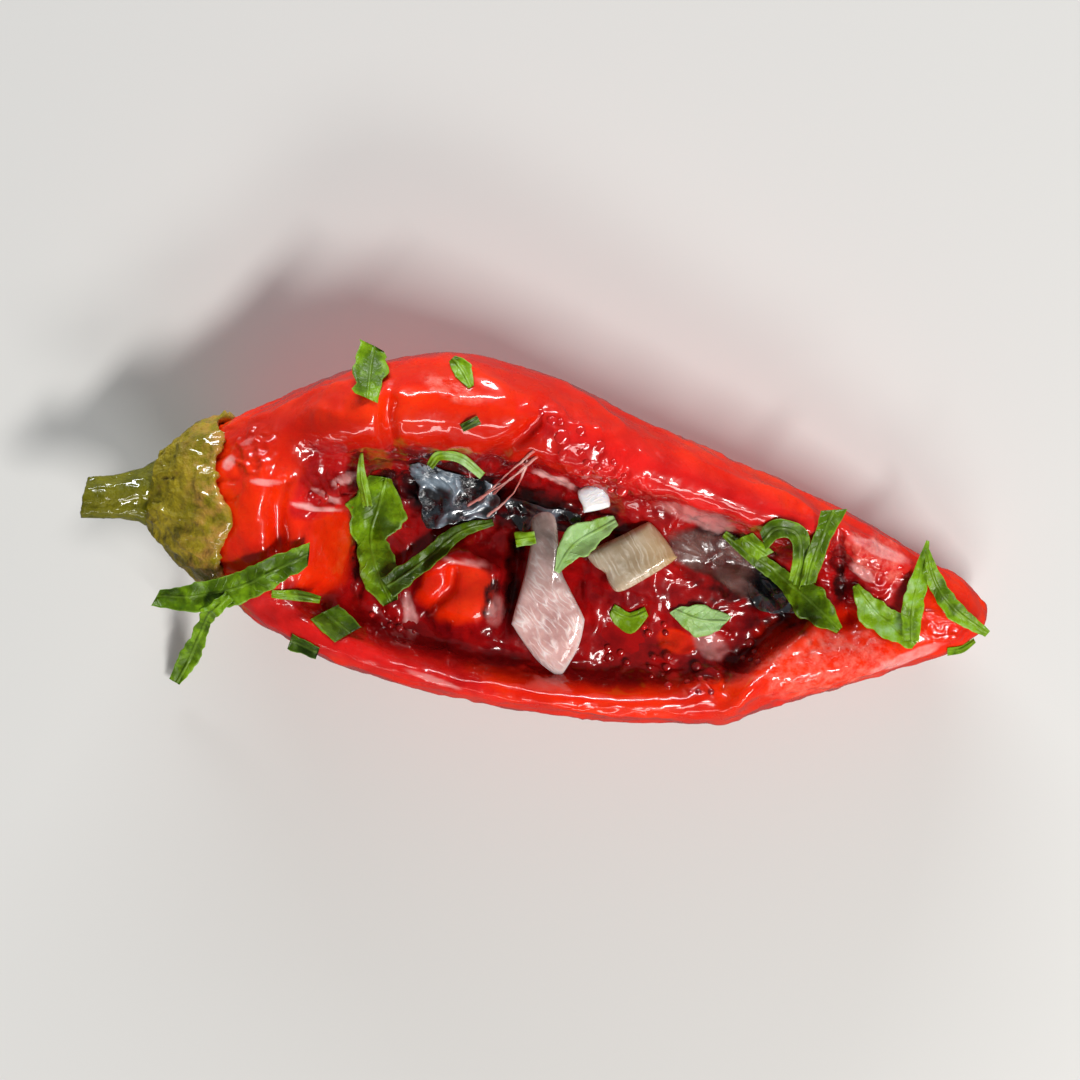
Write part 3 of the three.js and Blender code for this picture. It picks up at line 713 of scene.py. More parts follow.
def both_sides(values):
    """Values of a flat piece's underside, then the same for its top, in the order of two_sided."""
    return np.concatenate((values, values[::-1]))


def two_sided(place, bottom, top):
    """Closed grid of a flat piece: its underside from the middle outwards, then its top back inwards."""
    return np.concatenate((np.dstack((place, bottom)), np.dstack((place, top))[::-1]))


def slab(outline, x, y, turn, rings, around, shape):
    """Closed grid of a slab, with its masks; "shape" gives its underside and thickness at flat points."""
    shares = np.sin(0.5 * math.pi * np.linspace(0.06, 1, rings)) ** 0.9
    flat = smooth_curve(outline, around, closed=True) * shares[:, None, None]
    rim = np.sqrt(np.clip(1 - shares**6, 0, 1))[:, None]
    underside, thickness = shape(flat)
    middle = underside + 0.5 * thickness
    half = 0.5 * thickness * np.maximum(rim, 0.12)
    masks = {"long": flat[..., 0], "wide": flat[..., 1], "rim": shares[:, None] * np.ones(around)}
    masks = {name: with_ends(both_sides(mask)) for name, mask in masks.items()}
    return two_sided(placed(flat, x, y, turn), middle - half, middle + half), masks


# Colours of cooked onion: flesh, cloudy flesh, fibres, rim, and the end that has caught the heat.
PINK_ONION = (
    (0.56, 0.32, 0.30), (0.80, 0.54, 0.51), (0.97, 0.88, 0.86), (0.88, 0.72, 0.68), (0.115, 0.10, 0.085),
)
GLASSY_ONION = (
    (0.40, 0.31, 0.20), (0.62, 0.53, 0.41), (0.82, 0.76, 0.64), (0.74, 0.58, 0.38), (0.43, 0.25, 0.07),
)
WHITE_ONION = (
    (0.93, 0.90, 0.91), (0.98, 0.96, 0.97), (1.0, 0.99, 0.99), (0.96, 0.95, 0.95), (0.9, 0.9, 0.9),
)

ONION_PETAL = {
    "name": "onion_petal", "place": (35.8, -4.4, -78), "thick": 1.5, "curl": 0.012,
    "slope_long": -0.17, "slope_wide": 0.1,
    "smoky": lambda u: 1 - smoothstep(u, -5.2, 1.6), "looks": (PINK_ONION, 38),
    "outline": ((-8.4, -1.5), (-5.6, -1.9), (-2.2, -2.7), (2.3, -4.1), (3.2, -4.0), (6.6, -1.9), (8.3, 0.0),
                (8.4, 0.6), (7.9, 1.1), (5.4, 2.6), (2.9, 3.3), (2.1, 3.2), (-0.4, 2.1), (-3.1, 1.1),
                (-8.4, 0.7)),
}
ONION_SQUARE = {
    "name": "onion_square", "place": (43.4, 1.0, 38), "thick": 2.1, "curl": 0.02,
    "slope_long": 0.05, "slope_wide": -0.1,
    "smoky": lambda u: 0.7 * smoothstep(u, -0.5, 3.4), "looks": (GLASSY_ONION, 88, 0.03, 1.9),
    "outline": ((-4.2, 2.2), (-4.0, 0.9), (-3.4, -0.2), (-3.5, -1.5), (-2.9, -2.6), (0.4, -2.6), (3.7, -2.3),
                (4.0, -1.8), (3.8, 0.2), (3.3, 2.2), (2.7, 2.5), (0, 2.5), (-3.6, 2.6)),
}

CRUMB_OUTLINE = (
    (-1.4, -1.1), (-1.1, -1.3), (1.0, -1.4), (1.4, -1.1), (1.5, 0.9), (0.2, 1.3), (-1.2, 1.2), (-1.5, 0.6),
)
CRUMB_PLACE = (38.4, 6.6, 25)
CRUMB_THICK = 1.7

ONION_RINGS, ONION_AROUND = 20, 120
CRUMB_RINGS, CRUMB_AROUND = 12, 48
ONION_STIFFNESS = 40  # how often the sag is evened out
ONION_SUNK = 0.4  # how far the pieces are pressed into the soft flesh
ONION_SAG = 0.25  # how much of the gap below them they sag into; more would take them off their solids


def make_onion(spec):
    """A piece of onion that lies on the flesh, or bridges it, and sags a little."""
    def shape(p):
        u, v = p[..., 0], p[..., 1]
        underside = u * spec["slope_long"] + v * spec["slope_wide"] - spec["curl"] * u * u
        return underside, spec["thick"] + 0.12 * noise(on_plane(p), 2.5, 61)

    grid, masks = slab(spec["outline"], *spec["place"], ONION_RINGS, ONION_AROUND, shape)
    underside = grid[:len(grid) // 2]
    clear = underside[..., 2] - ground.height(underside[..., :2])
    lowered = clear.min() + ONION_SUNK
    clear = clear - lowered
    sag = evened(np.minimum(evened(ONION_SAG * clear, ONION_STIFFNESS), clear + ONION_SUNK), 6)
    grid[..., 2] -= lowered + both_sides(sag)
    points, faces = closed_loft(grid)
    ground.add(points, faces)
    masks["smoky"] = with_ends(spec["smoky"](masks["long"][:-2]))
    name, material = spec["name"], onion_material(*spec["looks"])
    make_piece(name + "_cooked", points, faces, masks, material, "onion", [name])


def make_crumb():
    """A small squarish crumb of onion, pressed a little into the wall of the basin."""
    def shape(p):
        underside = 0 * p[..., 0]
        return underside, underside + CRUMB_THICK

    grid, masks = slab(CRUMB_OUTLINE, *CRUMB_PLACE, CRUMB_RINGS, CRUMB_AROUND, shape)
    grid[..., 2] += ground.height(grid[:1, :, :2]).max() - ONION_SUNK
    points, faces = closed_loft(grid + 0.12 * noise(grid, 1.2, 63)[..., None])
    ground.add(points, faces)
    make_piece("onion_crumb", points, faces, masks, onion_material(WHITE_ONION, 0), "onion")


# Films: x, y, outline, height above the flesh, crumpling, slope that turns it to the window, how much painted
# sheen it has.
CHAR_FILMS = (
    (24.3, 3.6, ((-5.2, 2.9), (-3.9, -0.4), (-2.4, -3.5), (1.2, -2.2), (4.4, -1.0), (3.5, 1.8), (0.1, 2.5)),
     0.1, 0.8, 0.34, 1.0),
    (33.2, 3.0, ((-3.8, 1.4), (-2.0, -1.8), (0, -0.9), (3.9, -0.8), (3.9, 1.3), (0, 1.4)),
     0.2, 0.6, 0.3, 0.7),
    (58.0, -0.5, ((-2.9, 2.2), (-1.8, -0.8), (-0.4, -2.0), (3.1, -1.4), (2.3, 1.0), (-0.6, 1.2)),
     0.2, 0.8, 0.3, 0.35),
)
LOOSE_FILMS = (
    (51.4, 1.7, ((-5.3, 2.8), (-3.6, -0.9), (0.7, -2.0), (5.0, -3.8), (5.0, 0.4), (1.0, 3.1)),
     0.1, 0.16, 0.05, 0.0),
)
FILM_THICK = 0.16
FILM_RINGS, FILM_AROUND = 30, 132
FILM_EVENING = 14  # how often the ground under a film is evened out
FILM_DEEPEST = -0.25  # how far a film may reach into what is below it


def film(x, y, outline, lift, crumpling, slope, sheen_share, seed):
    """A torn film of skin that stands off the flesh in crumpled facets."""
    edge = smooth_curve(outline, FILM_AROUND, closed=True)
    edge = edge * (1 + 0.1 * noise(on_plane(edge), 1.1, seed))[:, None]
    shares = np.linspace(0.03, 1, FILM_RINGS)[:, None]
    flat = edge * shares[..., None]
    place = flat + (x, y)
    spot = on_plane(place)
    bent = warped(spot, 3.0, 0.7, seed)
    folds = ridges(bent, 4.6, seed + 4) - 0.4 + 0.3 * (ridges(bent, 1.7, seed + 5) - 0.4)
    folds = folds + 0.7 * noise(spot, 3.6, seed + 6)
    facing_window = slope * (edge[:, 1].max() - flat[..., 1])
    rise = lift * (0.35 + 0.65 * shares**2) + crumpling * folds + facing_window
    middle = evened(ground.height(place), FILM_EVENING) + np.maximum(rise, FILM_DEEPEST)
    half = 0.5 * FILM_THICK * np.sqrt(np.clip(1.02 - shares**8, 0, 1))
    # Painted sheen: the crests of the folds are painted bluish grey, and the valleys stay black.
    masks = {"ash": sheen_share * smoothstep(folds, -0.2, 0.5), "inside": 1 - smoothstep(shares, 0.6, 1) + 0 * folds}
    masks = {name: with_ends(both_sides(mask), mask[0, 0], mask[0, 0]) for name, mask in masks.items()}
    return *closed_loft(two_sided(place, middle - half, middle + half)), masks


def make_films():
    for name, specs, material, seed in (
        ("charred_film", CHAR_FILMS, char_material(), 70),
        ("loosened_skin", LOOSE_FILMS, loose_skin_material(), 90),
    ):
        points, faces, masks = joined([film(*spec, seed + 10 * i) for i, spec in enumerate(specs)])
        ground.add(points, faces)
        make_piece(name, points, faces, masks, material, "flesh")


# Strands of skin stretched from the charred film to the end of the shoulder: the places that each joins.
STRANDS = (
    ((26.6, 3.6), (31.6, 10.8)),
    ((25.6, 2.9), (29.4, 6.8), (32.0, 10.2)),
    ((27.8, 2.2), (30.2, 5.6), (31.2, 9.6)),
    ((28.0, 4.6), (30.8, 8.2)),
)
STRAND_RADIUS = 0.17
STRAND_POINTS = 40
STRAND_SAG = 0.8  # four times how far a strand sags in its middle
STRAND_CLEAR = 0.08  # how high its axis lies above what it touches
TUBE_AROUND = 8


def tube(path, radius):
    """A closed tube along a path of points."""
    forward = unit(np.gradient(path, axis=0))
    across = unit(np.cross(forward, (0, 0, 1)))
    angle = (np.arange(TUBE_AROUND) / TUBE_AROUND * TURN)[:, None]
    ring = np.cos(angle) * across[:, None] + np.sin(angle) * np.cross(across, forward)[:, None]
    return closed_loft(path[:, None] + radius[:, None, None] * ring)


def make_strands():
    tubes = []
    for i, path in enumerate(STRANDS):
        flat = smooth_curve(path, STRAND_POINTS)
        low = ground.height(flat)
        share = np.linspace(0, 1, len(flat))
        taut = mix(low[0], low[-1], share) - STRAND_SAG * share * (1 - share)
        z = np.maximum(taut, low) + STRAND_CLEAR
        wander = 0.1 * noise(np.column_stack((flat, z)), 1.5, 200 + i)
        radius = STRAND_RADIUS * (0.7 + 0.3 * np.cos(share * TURN) + 0.25 * np.abs(wander) / 0.1)
        tubes.append((*tube(np.column_stack((flat[:, 0] + wander, flat[:, 1], z)), radius), {}))
    make_piece("skin_strands", *joined(tubes), strand_material(), "flesh")


# Pools of cooking juice: x, y, turn, outline. Their levels lie just below the lowest of the shore.
POOLS = (
    (45.4, -8.4, -8, ((-6.8, 0.4), (-5.2, -2.6), (0, -3.4), (6, -2.6), (8, 0.6), (4.8, 3.4), (-1, 3.6))),
    (19.5, -10.0, -22, ((-6, 0), (-2, -1.6), (3, -1.4), (6, 0), (3, 1.6), (-3, 1.8))),
)
POOL_BELOW_SHORE = 0.02
POOL_THICK = 0.25
POOL_RINGS, POOL_AROUND = 24, 96


def make_pools():
    pools = []
    shares = np.linspace(0.04, 1, POOL_RINGS)[:, None]
    for x, y, turn, outline in POOLS:
        flat = smooth_curve(outline, POOL_AROUND, closed=True) * shares[..., None]
        place = placed(flat, x, y, turn)
        low = ground.height(place)
        level = low[-1].min() - POOL_BELOW_SHORE
        swell = 0.06 * noise(on_plane(place), 3.0, 66)
        top = level + swell * (1 - shares**4)
        pools.append((*closed_loft(two_sided(place, level - POOL_THICK + 0 * low, top)), {}))
    points, faces, masks = joined(pools)
    ground.add(points, faces)
    make_piece("roasting_juice", points, faces, masks, juice_material(), "flesh")


# Beads of juice and blisters of skin: x, y, length, width and turn of the patch, how many, their smallest and
# largest radius, their height as a share of that, and how red they are.
BEADS = (
    (50.2, -9.8, 3.6, 1.5, -18, 14, 0.35, 0.8, 0.75, 0.0),
    (43.0, -9.6, 1.4, 0.9, -20, 5, 0.4, 0.7, 0.75, 0.0),
    (47.6, -6.6, 2.2, 0.9, -12, 6, 0.35, 0.7, 0.75, 0.2),
    (49.5, -11.0, 5.0, 0.7, -6, 14, 0.25, 0.5, 0.7, 0.1),
    (56.8, -6.6, 2.0, 1.2, -60, 12, 0.3, 0.7, 0.75, 0.2),
    (36.6, 11.4, 7.0, 1.7, -31, 40, 0.35, 0.85, 0.42, 0.9),
    (20.0, -10.2, 3.0, 0.9, -15, 8, 0.25, 0.5, 0.7, 0.2),
    (11.8, 2.8, 2.2, 1.3, 40, 6, 0.2, 0.4, 0.6, 0.5),
)
BEAD_SPACING = 0.95  # nearest distance of two beads, as a share of their radii
BEAD_COVERED = 0.4  # a bead is left out where other things lie higher above the flesh than this


def ball(subdivisions):
    """Points and faces of a ball of radius 1."""
    mesh = bmesh.new()
    bmesh.ops.create_icosphere(mesh, subdivisions=subdivisions, radius=1)
    points = np.array([v.co[:] for v in mesh.verts])
    faces = [[v.index for v in face.verts] for face in mesh.faces]
    mesh.free()
    return points, faces


def make_beads():
    ball_points, ball_faces = ball(2)
    random = np.random.RandomState(3)
    beads, taken = [], []
    for x, y, long, wide, turn, count, small, large, tall, redness in BEADS:
        for _ in range(count):
            angle, share = random.uniform(0, TURN), math.sqrt(random.uniform())
            u, v = turned_axes(long * share * math.cos(angle), wide * share * math.sin(angle), -turn)
            radius = mix(small, large, random.uniform() ** 2)
            place = np.array((x + u, y + v))
            if any(np.hypot(*(place - other)) < BEAD_SPACING * (radius + r) for other, r in taken):
                continue
            taken.append((place, radius))
            height = flesh_ground.height(place)
            if ground.height(place) > height + BEAD_COVERED:
                continue
            points = ball_points * (radius, radius, tall * radius) + (*place, height + 0.1 * radius * tall)
            tone = np.full(len(points), mix(random.uniform(), 1, redness))
            beads.append((points, ball_faces, {"tone": tone}))
    make_piece("juice_beads", *joined(beads), bead_material(), "flesh")


# ---- Chopped herb: each piece is a thin solid ribbon along a path, and rests on what is below it ----
def herb(path, tone, teeth=0.0, fold=0.1, lift=0.12, droop=0.35, slant=0.0):
    """One piece: rows of x, y and reach to the right and left, how light it is (the lightest get a pale
    painted sheen), how jagged its edges are, how far its sides are folded up, how high it lies, how steeply
    it hangs, and the slant of its ends."""
    return dict(path=path, tone=tone, teeth=teeth, fold=fold, lift=lift, droop=droop, slant=slant)


HERBS = (
    # across the left of the basin: a leaf, the strip that leaves its foot, and its thin tip
    herb(((16.7, 4.3, 1.6, 0.6), (16.5, 1.4, 3.0, 3.2), (16.2, -2.0, 1.4, 1.6), (17.9, -5.8, 1.8, 2.3),
          (19.5, -8.2, 0.8, 0.7)), 0.5, 0.16, 0.35),
    herb(((18.8, -6.6, 1.2, 1.1), (22.4, -3.1, 0.9, 0.9), (25.2, 0.0, 0.7, 0.9), (28.5, 1.6, 0.3, 0.3)),
         0.25, 0.2, 0.2),
    herb(((14.2, 7.2, 0.1, 0.1), (14.6, 4.6, 0.5, 0.5), (15.6, 1.6, 0.4, 0.5)), 0.85, 0, 0.1, 0.5),
    # pale arch on the shoulder
    herb(((21.2, 6.9, 0.4, 0.3), (22.1, 8.3, 0.5, 0.5), (24.4, 8.4, 0.5, 0.4), (26.8, 6.9, 0.4, 0.3)),
         0.9, 0, 0.3, 0.3),
    # leaves on the onion and in the deep part
    herb(((35.9, -1.6, 0.3, 0.2), (37.3, 1.4, 1.7, 1.8), (41.0, 4.4, 0.5, 0.5)), 1.35, 0.2, 0.35),
    herb(((48.6, -3.9, 0.4, 0.6), (51.4, -4.5, 1.8, 1.7), (54.2, -4.3, 0.9, 0.5)),
         1.5, 0.15, 0.2, slant=0.8),
    herb(((42.2, -5.2, 0.5, 0.6), (44.1, -5.7, 1.6, 0.5), (45.8, -4.7, 0.4, 0.5)), 0.7, 0.2, 0.2),
    herb(((31.2, 0.8, 0.7, 0.8), (33.2, 1.5, 0.6, 0.6)), 0.85, 0.2, 0.1),
    # the tangle over the second scorched hollow
    herb(((52.3, 4.8, 0.3, 0.3), (56.0, 2.8, 0.8, 0.7), (59.5, 0.9, 0.9, 0.8), (62.7, -0.9, 1.9, 1.9),
          (65.8, -2.9, 0.4, 0.3)), 0.5, 0.2, 0.3, 0.25),
    herb(((56.2, 5.3, 0.8, 0.8), (57.4, 6.9, 0.9, 0.9), (59.6, 6.6, 0.8, 0.9), (60.4, 4.0, 0.8, 0.8),
          (60.2, 1.2, 0.6, 0.6)), 0.4, 0.15, 0.4, 0.8, slant=0.5),
    herb(((62.8, 9.6, 1.1, 1.2), (62.2, 6.9, 0.8, 0.8), (61.7, 3.9, 0.9, 0.9), (61.6, 1.4, 0.7, 0.7)),
         0.5, 0.1, 0.3, 0.9, slant=-0.5),
    herb(((54.2, 4.9, 1.0, 1.0), (57.0, 3.3, 0.8, 0.8)), 0.7, 0.2, 0.1, 0.3, slant=0.4),
    # zigzag near the tip
    herb(((66.6, 1.8, 0.3, 0.3), (69.0, -0.5, 1.7, 1.1), (71.0, -1.6, 1.5, 1.5), (73.8, -3.2, 0.5, 0.6)),
         0.75, 0.3, 0.2, 0.25),
    herb(((73.3, -2.8, 0.7, 0.8), (72.8, 0.5, 1.1, 1.1), (73.0, 4.1, 0.8, 0.8), (73.2, 7.6, 0.1, 0.1)),
         0.75, 0.2, 0.3, 0.9),
    herb(((73.1, 6.9, 0.2, 0.2), (74.7, 3.6, 0.8, 0.9), (77.2, 1.2, 1.0, 0.8), (81.0, -0.8, 0.4, 0.3)),
         0.7, 0.2, 0.3, 1.6),
    # the long blade over the edge of the calyx, with its drooping stalk
    herb(((-4.3, -11.2, 0.9, 0.6), (-0.2, -10.3, 1.6, 1.4), (4.3, -8.3, 1.6, 1.5), (7.8, -5.7, 1.4, 1.4),
          (10.8, -3.6, 1.0, 1.0)), 0.42, 0.15, 0.4, 1.1, slant=0.6),
    herb(((3.4, -9.4, 0.6, 0.5), (1.0, -12.8, 0.8, 0.7), (-0.2, -16.2, 0.7, 0.6), (-1.2, -19.6, 1.1, 1.1),
          (-2.2, -22.4, 0.9, 0.3)), 0.6, 0.35, 0.4, 0.2, 4.5),
    herb(((7.6, -8.5, 0.3, 0.3), (10.2, -8.3, 0.5, 0.5), (12.5, -8.5, 0.3, 0.3)), 0.6),
    herb(((13.0, -9.8, 1.2, 1.4), (14.5, -10.6, 1.4, 1.4), (16.1, -11.4, 1.4, 1.2)), 0.3, 0.15, slant=0.5),
    # on the outer skin
    herb(((13.7, 18.2, 1.5, 1.0), (13.8, 16.4, 1.7, 1.7), (14.2, 13.4, 1.2, 0.9)),
         0.6, 0.45, 0.2, droop=1.3, slant=0.4),
    herb(((21.8, 18.5, 0.4, 0.3), (23.0, 17.6, 0.9, 1.1), (24.3, 16.2, 0.2, 0.2)), 0.55, 0.3, droop=1.3),
    herb(((24.1, 12.0, 0.35, 0.35), (25.7, 13.2, 0.4, 0.4)), 0.1),
    herb(((10.1, -13.3, 0.9, 0.9), (13.2, -13.9, 0.7, 0.6)), 0.1, 0.2, droop=1.3),
    herb(((77.4, -3.7, 0.4, 0.4), (79.0, -3.3, 0.4, 0.4), (80.2, -2.4, 0.2, 0.2)), 0.7, droop=0.9),
)
HERB_THICK = 0.18
HERB_STEP = 0.2  # millimetres between a piece's rings
HERB_RINGS = 16  # a piece has at least as many
HERB_ACROSS = 15
HERB_CLEAR = 0.13  # least height of a piece's middle above what it touches
EVENED_CLEAR = 0.14  # the same, once the piece is evened out
VEIN_WAVE = 3.2  # radians in each millimetre of the wave of side veins, with a vein at each half turn
VEIN_SLANT = 0.9  # how far a side vein runs forwards for each millimetre that it runs outwards
STIFFENING = 30  # how often a piece's spine is evened out


def jagged_reach(widths, teeth, share, walk, seed, is_left):
    """How far a piece reaches to one of its sides, along its path."""
    edge = np.stack((walk, 0 * walk + 9 * is_left, 0 * walk), axis=-1)
    jag = noise(edge, 1.3, seed + is_left) + 0.4 * noise(edge, 0.6, seed + is_left)
    return np.interp(share, np.linspace(0, 1, len(widths)), widths) * (1 + teeth * jag) + 0.06


def stiff_spine(below, walk, droop):
    """Heights of a piece's middle line: it bridges hollows, and hangs down past what it lies on."""
    spine = below
    for _ in range(STIFFENING):
        padded = np.pad(spine, 1, mode="edge")
        spine = np.maximum(below, 0.5 * (padded[2:] + padded[:-2]))
    apart = np.abs(walk[:, None] - walk)
    hanging = spine * np.exp(-droop * apart / np.maximum(spine, 1))
    return np.maximum(spine, hanging.max(axis=1))


def leaf_relief(spot, side, reach, walk, seed):
    """A raised midrib, sunken side veins that slant forwards from it, and small lumps."""
    wandering = walk[:, None] - VEIN_SLANT * np.abs(side * reach) + 0.3 * noise(spot, 1.2, seed + 5)
    veins = np.exp(-((np.sin(wandering * VEIN_WAVE) / 0.35) ** 2)) * np.clip(reach - 0.5, 0, 1)
    veins = veins * (1 - side**4) * smoothstep(noise(spot, 2.0, seed + 6), -0.15, 0.35)
    return 0.07 * np.exp(-((side / 0.12) ** 2)) - 0.045 * veins + 0.09 * noise(spot, 0.8, seed + 4)


def make_herb_piece(spec, seed):
    path, reach_columns = np.split(np.array(spec["path"]), 2, axis=1)
    length = sum(math.dist(a, b) for a, b in zip(path, path[1:]))
    count = max(HERB_RINGS, round(length / HERB_STEP))
    middle = smooth_curve(path, count)
    share = np.linspace(0, 1, count)
    walk = share * length
    side = np.linspace(-1, 1, HERB_ACROSS)
    to_right, to_left = (
        jagged_reach(widths, spec["teeth"], share, walk, seed, is_left)[:, None]
        for is_left, widths in enumerate(reach_columns.T)
    )
    reach = np.where(side < 0, to_right, to_left)
    across = side * reach
    forward = unit(np.gradient(middle, axis=0))
    left = np.stack((-forward[:, 1], forward[:, 0]), axis=-1)
    # The ends are cut on the slant.
    offset = spec["slant"] * smoothstep(np.abs(2 * share - 1), 0.4, 1)[:, None] * across
    place = middle[:, None] + left[:, None] * across[..., None] + forward[:, None] * offset[..., None]

    below = ground.height(place)
    spine = stiff_spine(below[:, HERB_ACROSS // 2], walk, spec["droop"])
    spot = on_plane(place)
    wave = 0.55 * noise(spot, 2.6, seed + 2) + 0.25 * noise(spot, 1.1, seed + 3)
    cupped = spec["fold"] * np.abs(across)
    z = np.maximum(spine[:, None] + cupped + spec["lift"] + wave, below + HERB_CLEAR)
    for _ in range(2):
        evener = 0.25 * z[:-2] + 0.5 * z[1:-1] + 0.25 * z[2:]
        z[1:-1] = np.maximum(below[1:-1] + EVENED_CLEAR, evener)
    half_thick = 0.5 * HERB_THICK * (0.4 + 0.6 * np.sqrt(1 - side**2)) * np.clip(reach / 0.5, 0.5, 1)
    bottom = np.dstack((place, z - half_thick))
    top = np.dstack((place, z + half_thick + leaf_relief(spot, side, reach, walk, seed)))
    points, faces = closed_loft(np.concatenate((bottom, top[:, ::-1]), axis=1))
    masks = {"across": across, "side": side + 0 * across, "walk": walk[:, None] + 0 * across}
    masks = {name: with_ends(np.concatenate((mask, mask[:, ::-1]), axis=1)) for name, mask in masks.items()}
    masks["tone"] = np.full(len(points), spec["tone"])
    return points, faces, masks


def make_herbs():
    pieces = []
    for i, spec in enumerate(HERBS):
        pieces.append(make_herb_piece(spec, 100 + 7 * i))
        ground.add(*pieces[-1][:2])
    make_piece("chopped_herb", *joined(pieces), herb_material(), "herb")


# ---- Materials ----
class Nodes:
    """Short calls for building one material's node tree."""

    def __init__(self, name):
        self.material = bpy.data.materials.new(name)
        self.material.use_nodes = True
        self.tree = self.material.node_tree
        self.shader = self.tree.nodes["Principled BSDF"]

    def add(self, kind, inputs=(), **settings):
        node = self.tree.nodes.new(kind)
        for key, value in settings.items():
            setattr(node, key, value)
        for key, value in dict(inputs).items():
            self.put(value, node.inputs[key])
        return node

    def put(self, value, socket):
        if isinstance(value, bpy.types.NodeSocket):
            self.tree.links.new(value, socket)
        else:
            socket.default_value = value

    def mask(self, name):
        return self.add("ShaderNodeAttribute", attribute_name=name).outputs["Fac"]

    def noise(self, scale, detail, roughness=0.55):
        place = self.add("ShaderNodeTexCoord").outputs["Object"]
        inputs = {"Vector": place, "Scale": scale, "Detail": detail, "Roughness": roughness}
        return self.add("ShaderNodeTexNoise", inputs).outputs["Fac"]

    def ramp(self, value, low, high, to_low=0.0, to_high=1.0):
        inputs = {"Value": value, "From Min": low, "From Max": high, "To Min": to_low, "To Max": to_high}
        return self.add("ShaderNodeMapRange", inputs).outputs["Result"]

    def mottle(self, scale, detail, low, high, to_low=0.0, to_high=1.0, roughness=0.55):
        """Noise, of which the values from low to high are spread over the range from to_low to to_high."""
        return self.ramp(self.noise(scale, detail, roughness), low, high, to_low, to_high)

    def math(self, operation, a, b=0.0):
        return self.add("ShaderNodeMath", {0: a, 1: b}, operation=operation).outputs[0]

    def plus(self, a, b):
        return self.math("ADD", a, b)

    def times(self, a, b):
        return self.math("MULTIPLY", a, b)

    def blend(self, share, a, b):
        node = self.add("ShaderNodeMix", data_type="RGBA")
        self.put(share, node.inputs["Factor"])
        for value, socket in ((a, node.inputs[6]), (b, node.inputs[7])):
            self.put(value if isinstance(value, bpy.types.NodeSocket) else (*value, 1), socket)
        return node.outputs[2]

    def layers(self, colour, *layers):
        """Further colours laid over the first, each by its own share."""
        for share, over in layers:
            colour = self.blend(share, colour, over)
        return colour

    def bump(self, height, strength, distance, normal=None):
        inputs = {"Height": height, "Strength": strength, "Distance": distance}
        if normal is not None:
            inputs["Normal"] = normal
        return self.add("ShaderNodeBump", inputs).outputs[0]

    def finish(self, colour, roughness, **inputs):
        """Sets the shader's inputs, which are named with _ for a space, and returns the material."""
        inputs = {"Base_Color": colour, "Roughness": roughness, **inputs}
        for key, value in inputs.items():
            self.put(value, self.shader.inputs[key.replace("_", " ")])
        return self.material


def soft(weight, radius, scale):
    """Settings of a surface that lets light in: how much, and how far each colour gets."""
    return {"Subsurface_Weight": weight, "Subsurface_Radius": radius, "Subsurface_Scale": scale}


def wet(weight, roughness, ior=1.5):
    """Settings of a wet coat."""
    return {"Coat_Weight": weight, "Coat_Roughness": roughness, "Coat_IOR": ior}


def skin_material():
    n = Nodes("roasted_skin")
    deep, char, grain_and_sheen = n.mask("deep"), n.mask("char"), n.mask("grain_and_sheen")
    mottle = n.mottle(240, 5, 0.35, 0.65)
    taut = n.layers(
        n.blend(mottle, (0.78, 0.016, 0.001), (0.92, 0.038, 0.002)),
        (n.times(n.mottle(95, 3, 0.35, 0.68), 0.6), (0.56, 0.005, 0.001)),
        # painted shade on the inner side of the shoulder and in the hollows of the flanks
        (n.times(n.mask("inner"), 0.75), (0.46, 0.006, 0.001)),
    )
    # slack crimson skin, and painted shade on the south flank by the calyx
    slack_and_shaded = n.blend(mottle, (0.46, 0.005, 0.005), (0.74, 0.014, 0.011))
    # dark wet red of the basin, partly painted shade
    wet_shaded_red = n.blend(mottle, (0.20, 0.002, 0.004), (0.46, 0.005, 0.005))
    # painted sheen: a pale mottle on the grained skin
    painted_sheen = n.times(grain_and_sheen, n.mottle(1000, 4, 0.38, 0.66, roughness=0.6))
    colour = n.layers(
        taut,
        (n.ramp(n.mask("crimson_and_shade"), 0.1, 0.9), slack_and_shaded),
        (n.ramp(deep, 0.1, 0.9), wet_shaded_red),
        (n.times(n.mottle(1900, 3, 0.55, 0.75), 0.25), (0.35, 0.006, 0.004)),  # speckles
        # scorch, and painted shade of the hollows and creases
        (n.times(n.mask("scorch_and_shade"), n.mottle(420, 4, 0.32, 0.58)), (0.040, 0.004, 0.004)),
        (char, (0.008, 0.008, 0.010)),
        (n.times(painted_sheen, 0.55), (0.94, 0.24, 0.18)),
        # painted highlights
        (n.times(n.mask("painted_highlight"), n.mottle(500, 4, 0.3, 0.55, 0.4, 1.0)), (0.90, 0.46, 0.44)),
    )
    fine = n.bump(n.noise(2600, 3, 0.5), 0.10, 0.00012)
    grain = n.bump(n.times(n.noise(1500, 3, 0.6), grain_and_sheen), 0.6, 0.0003, fine)
    return n.finish(
        colour, n.mottle(300, 3, 0.3, 0.7, 0.20, 0.36), Specular_IOR_Level=0.14,
        **soft(n.ramp(char, 0, 1, 0.2, 0.0), (1.0, 0.16, 0.08), 0.0016),
        **wet(n.mottle(150, 3, 0.35, 0.6, 0.5, 1.0), 0.045, 1.48),
        Normal=n.bump(n.noise(620, 4, 0.5), 0.25, 0.0004, grain),
    )


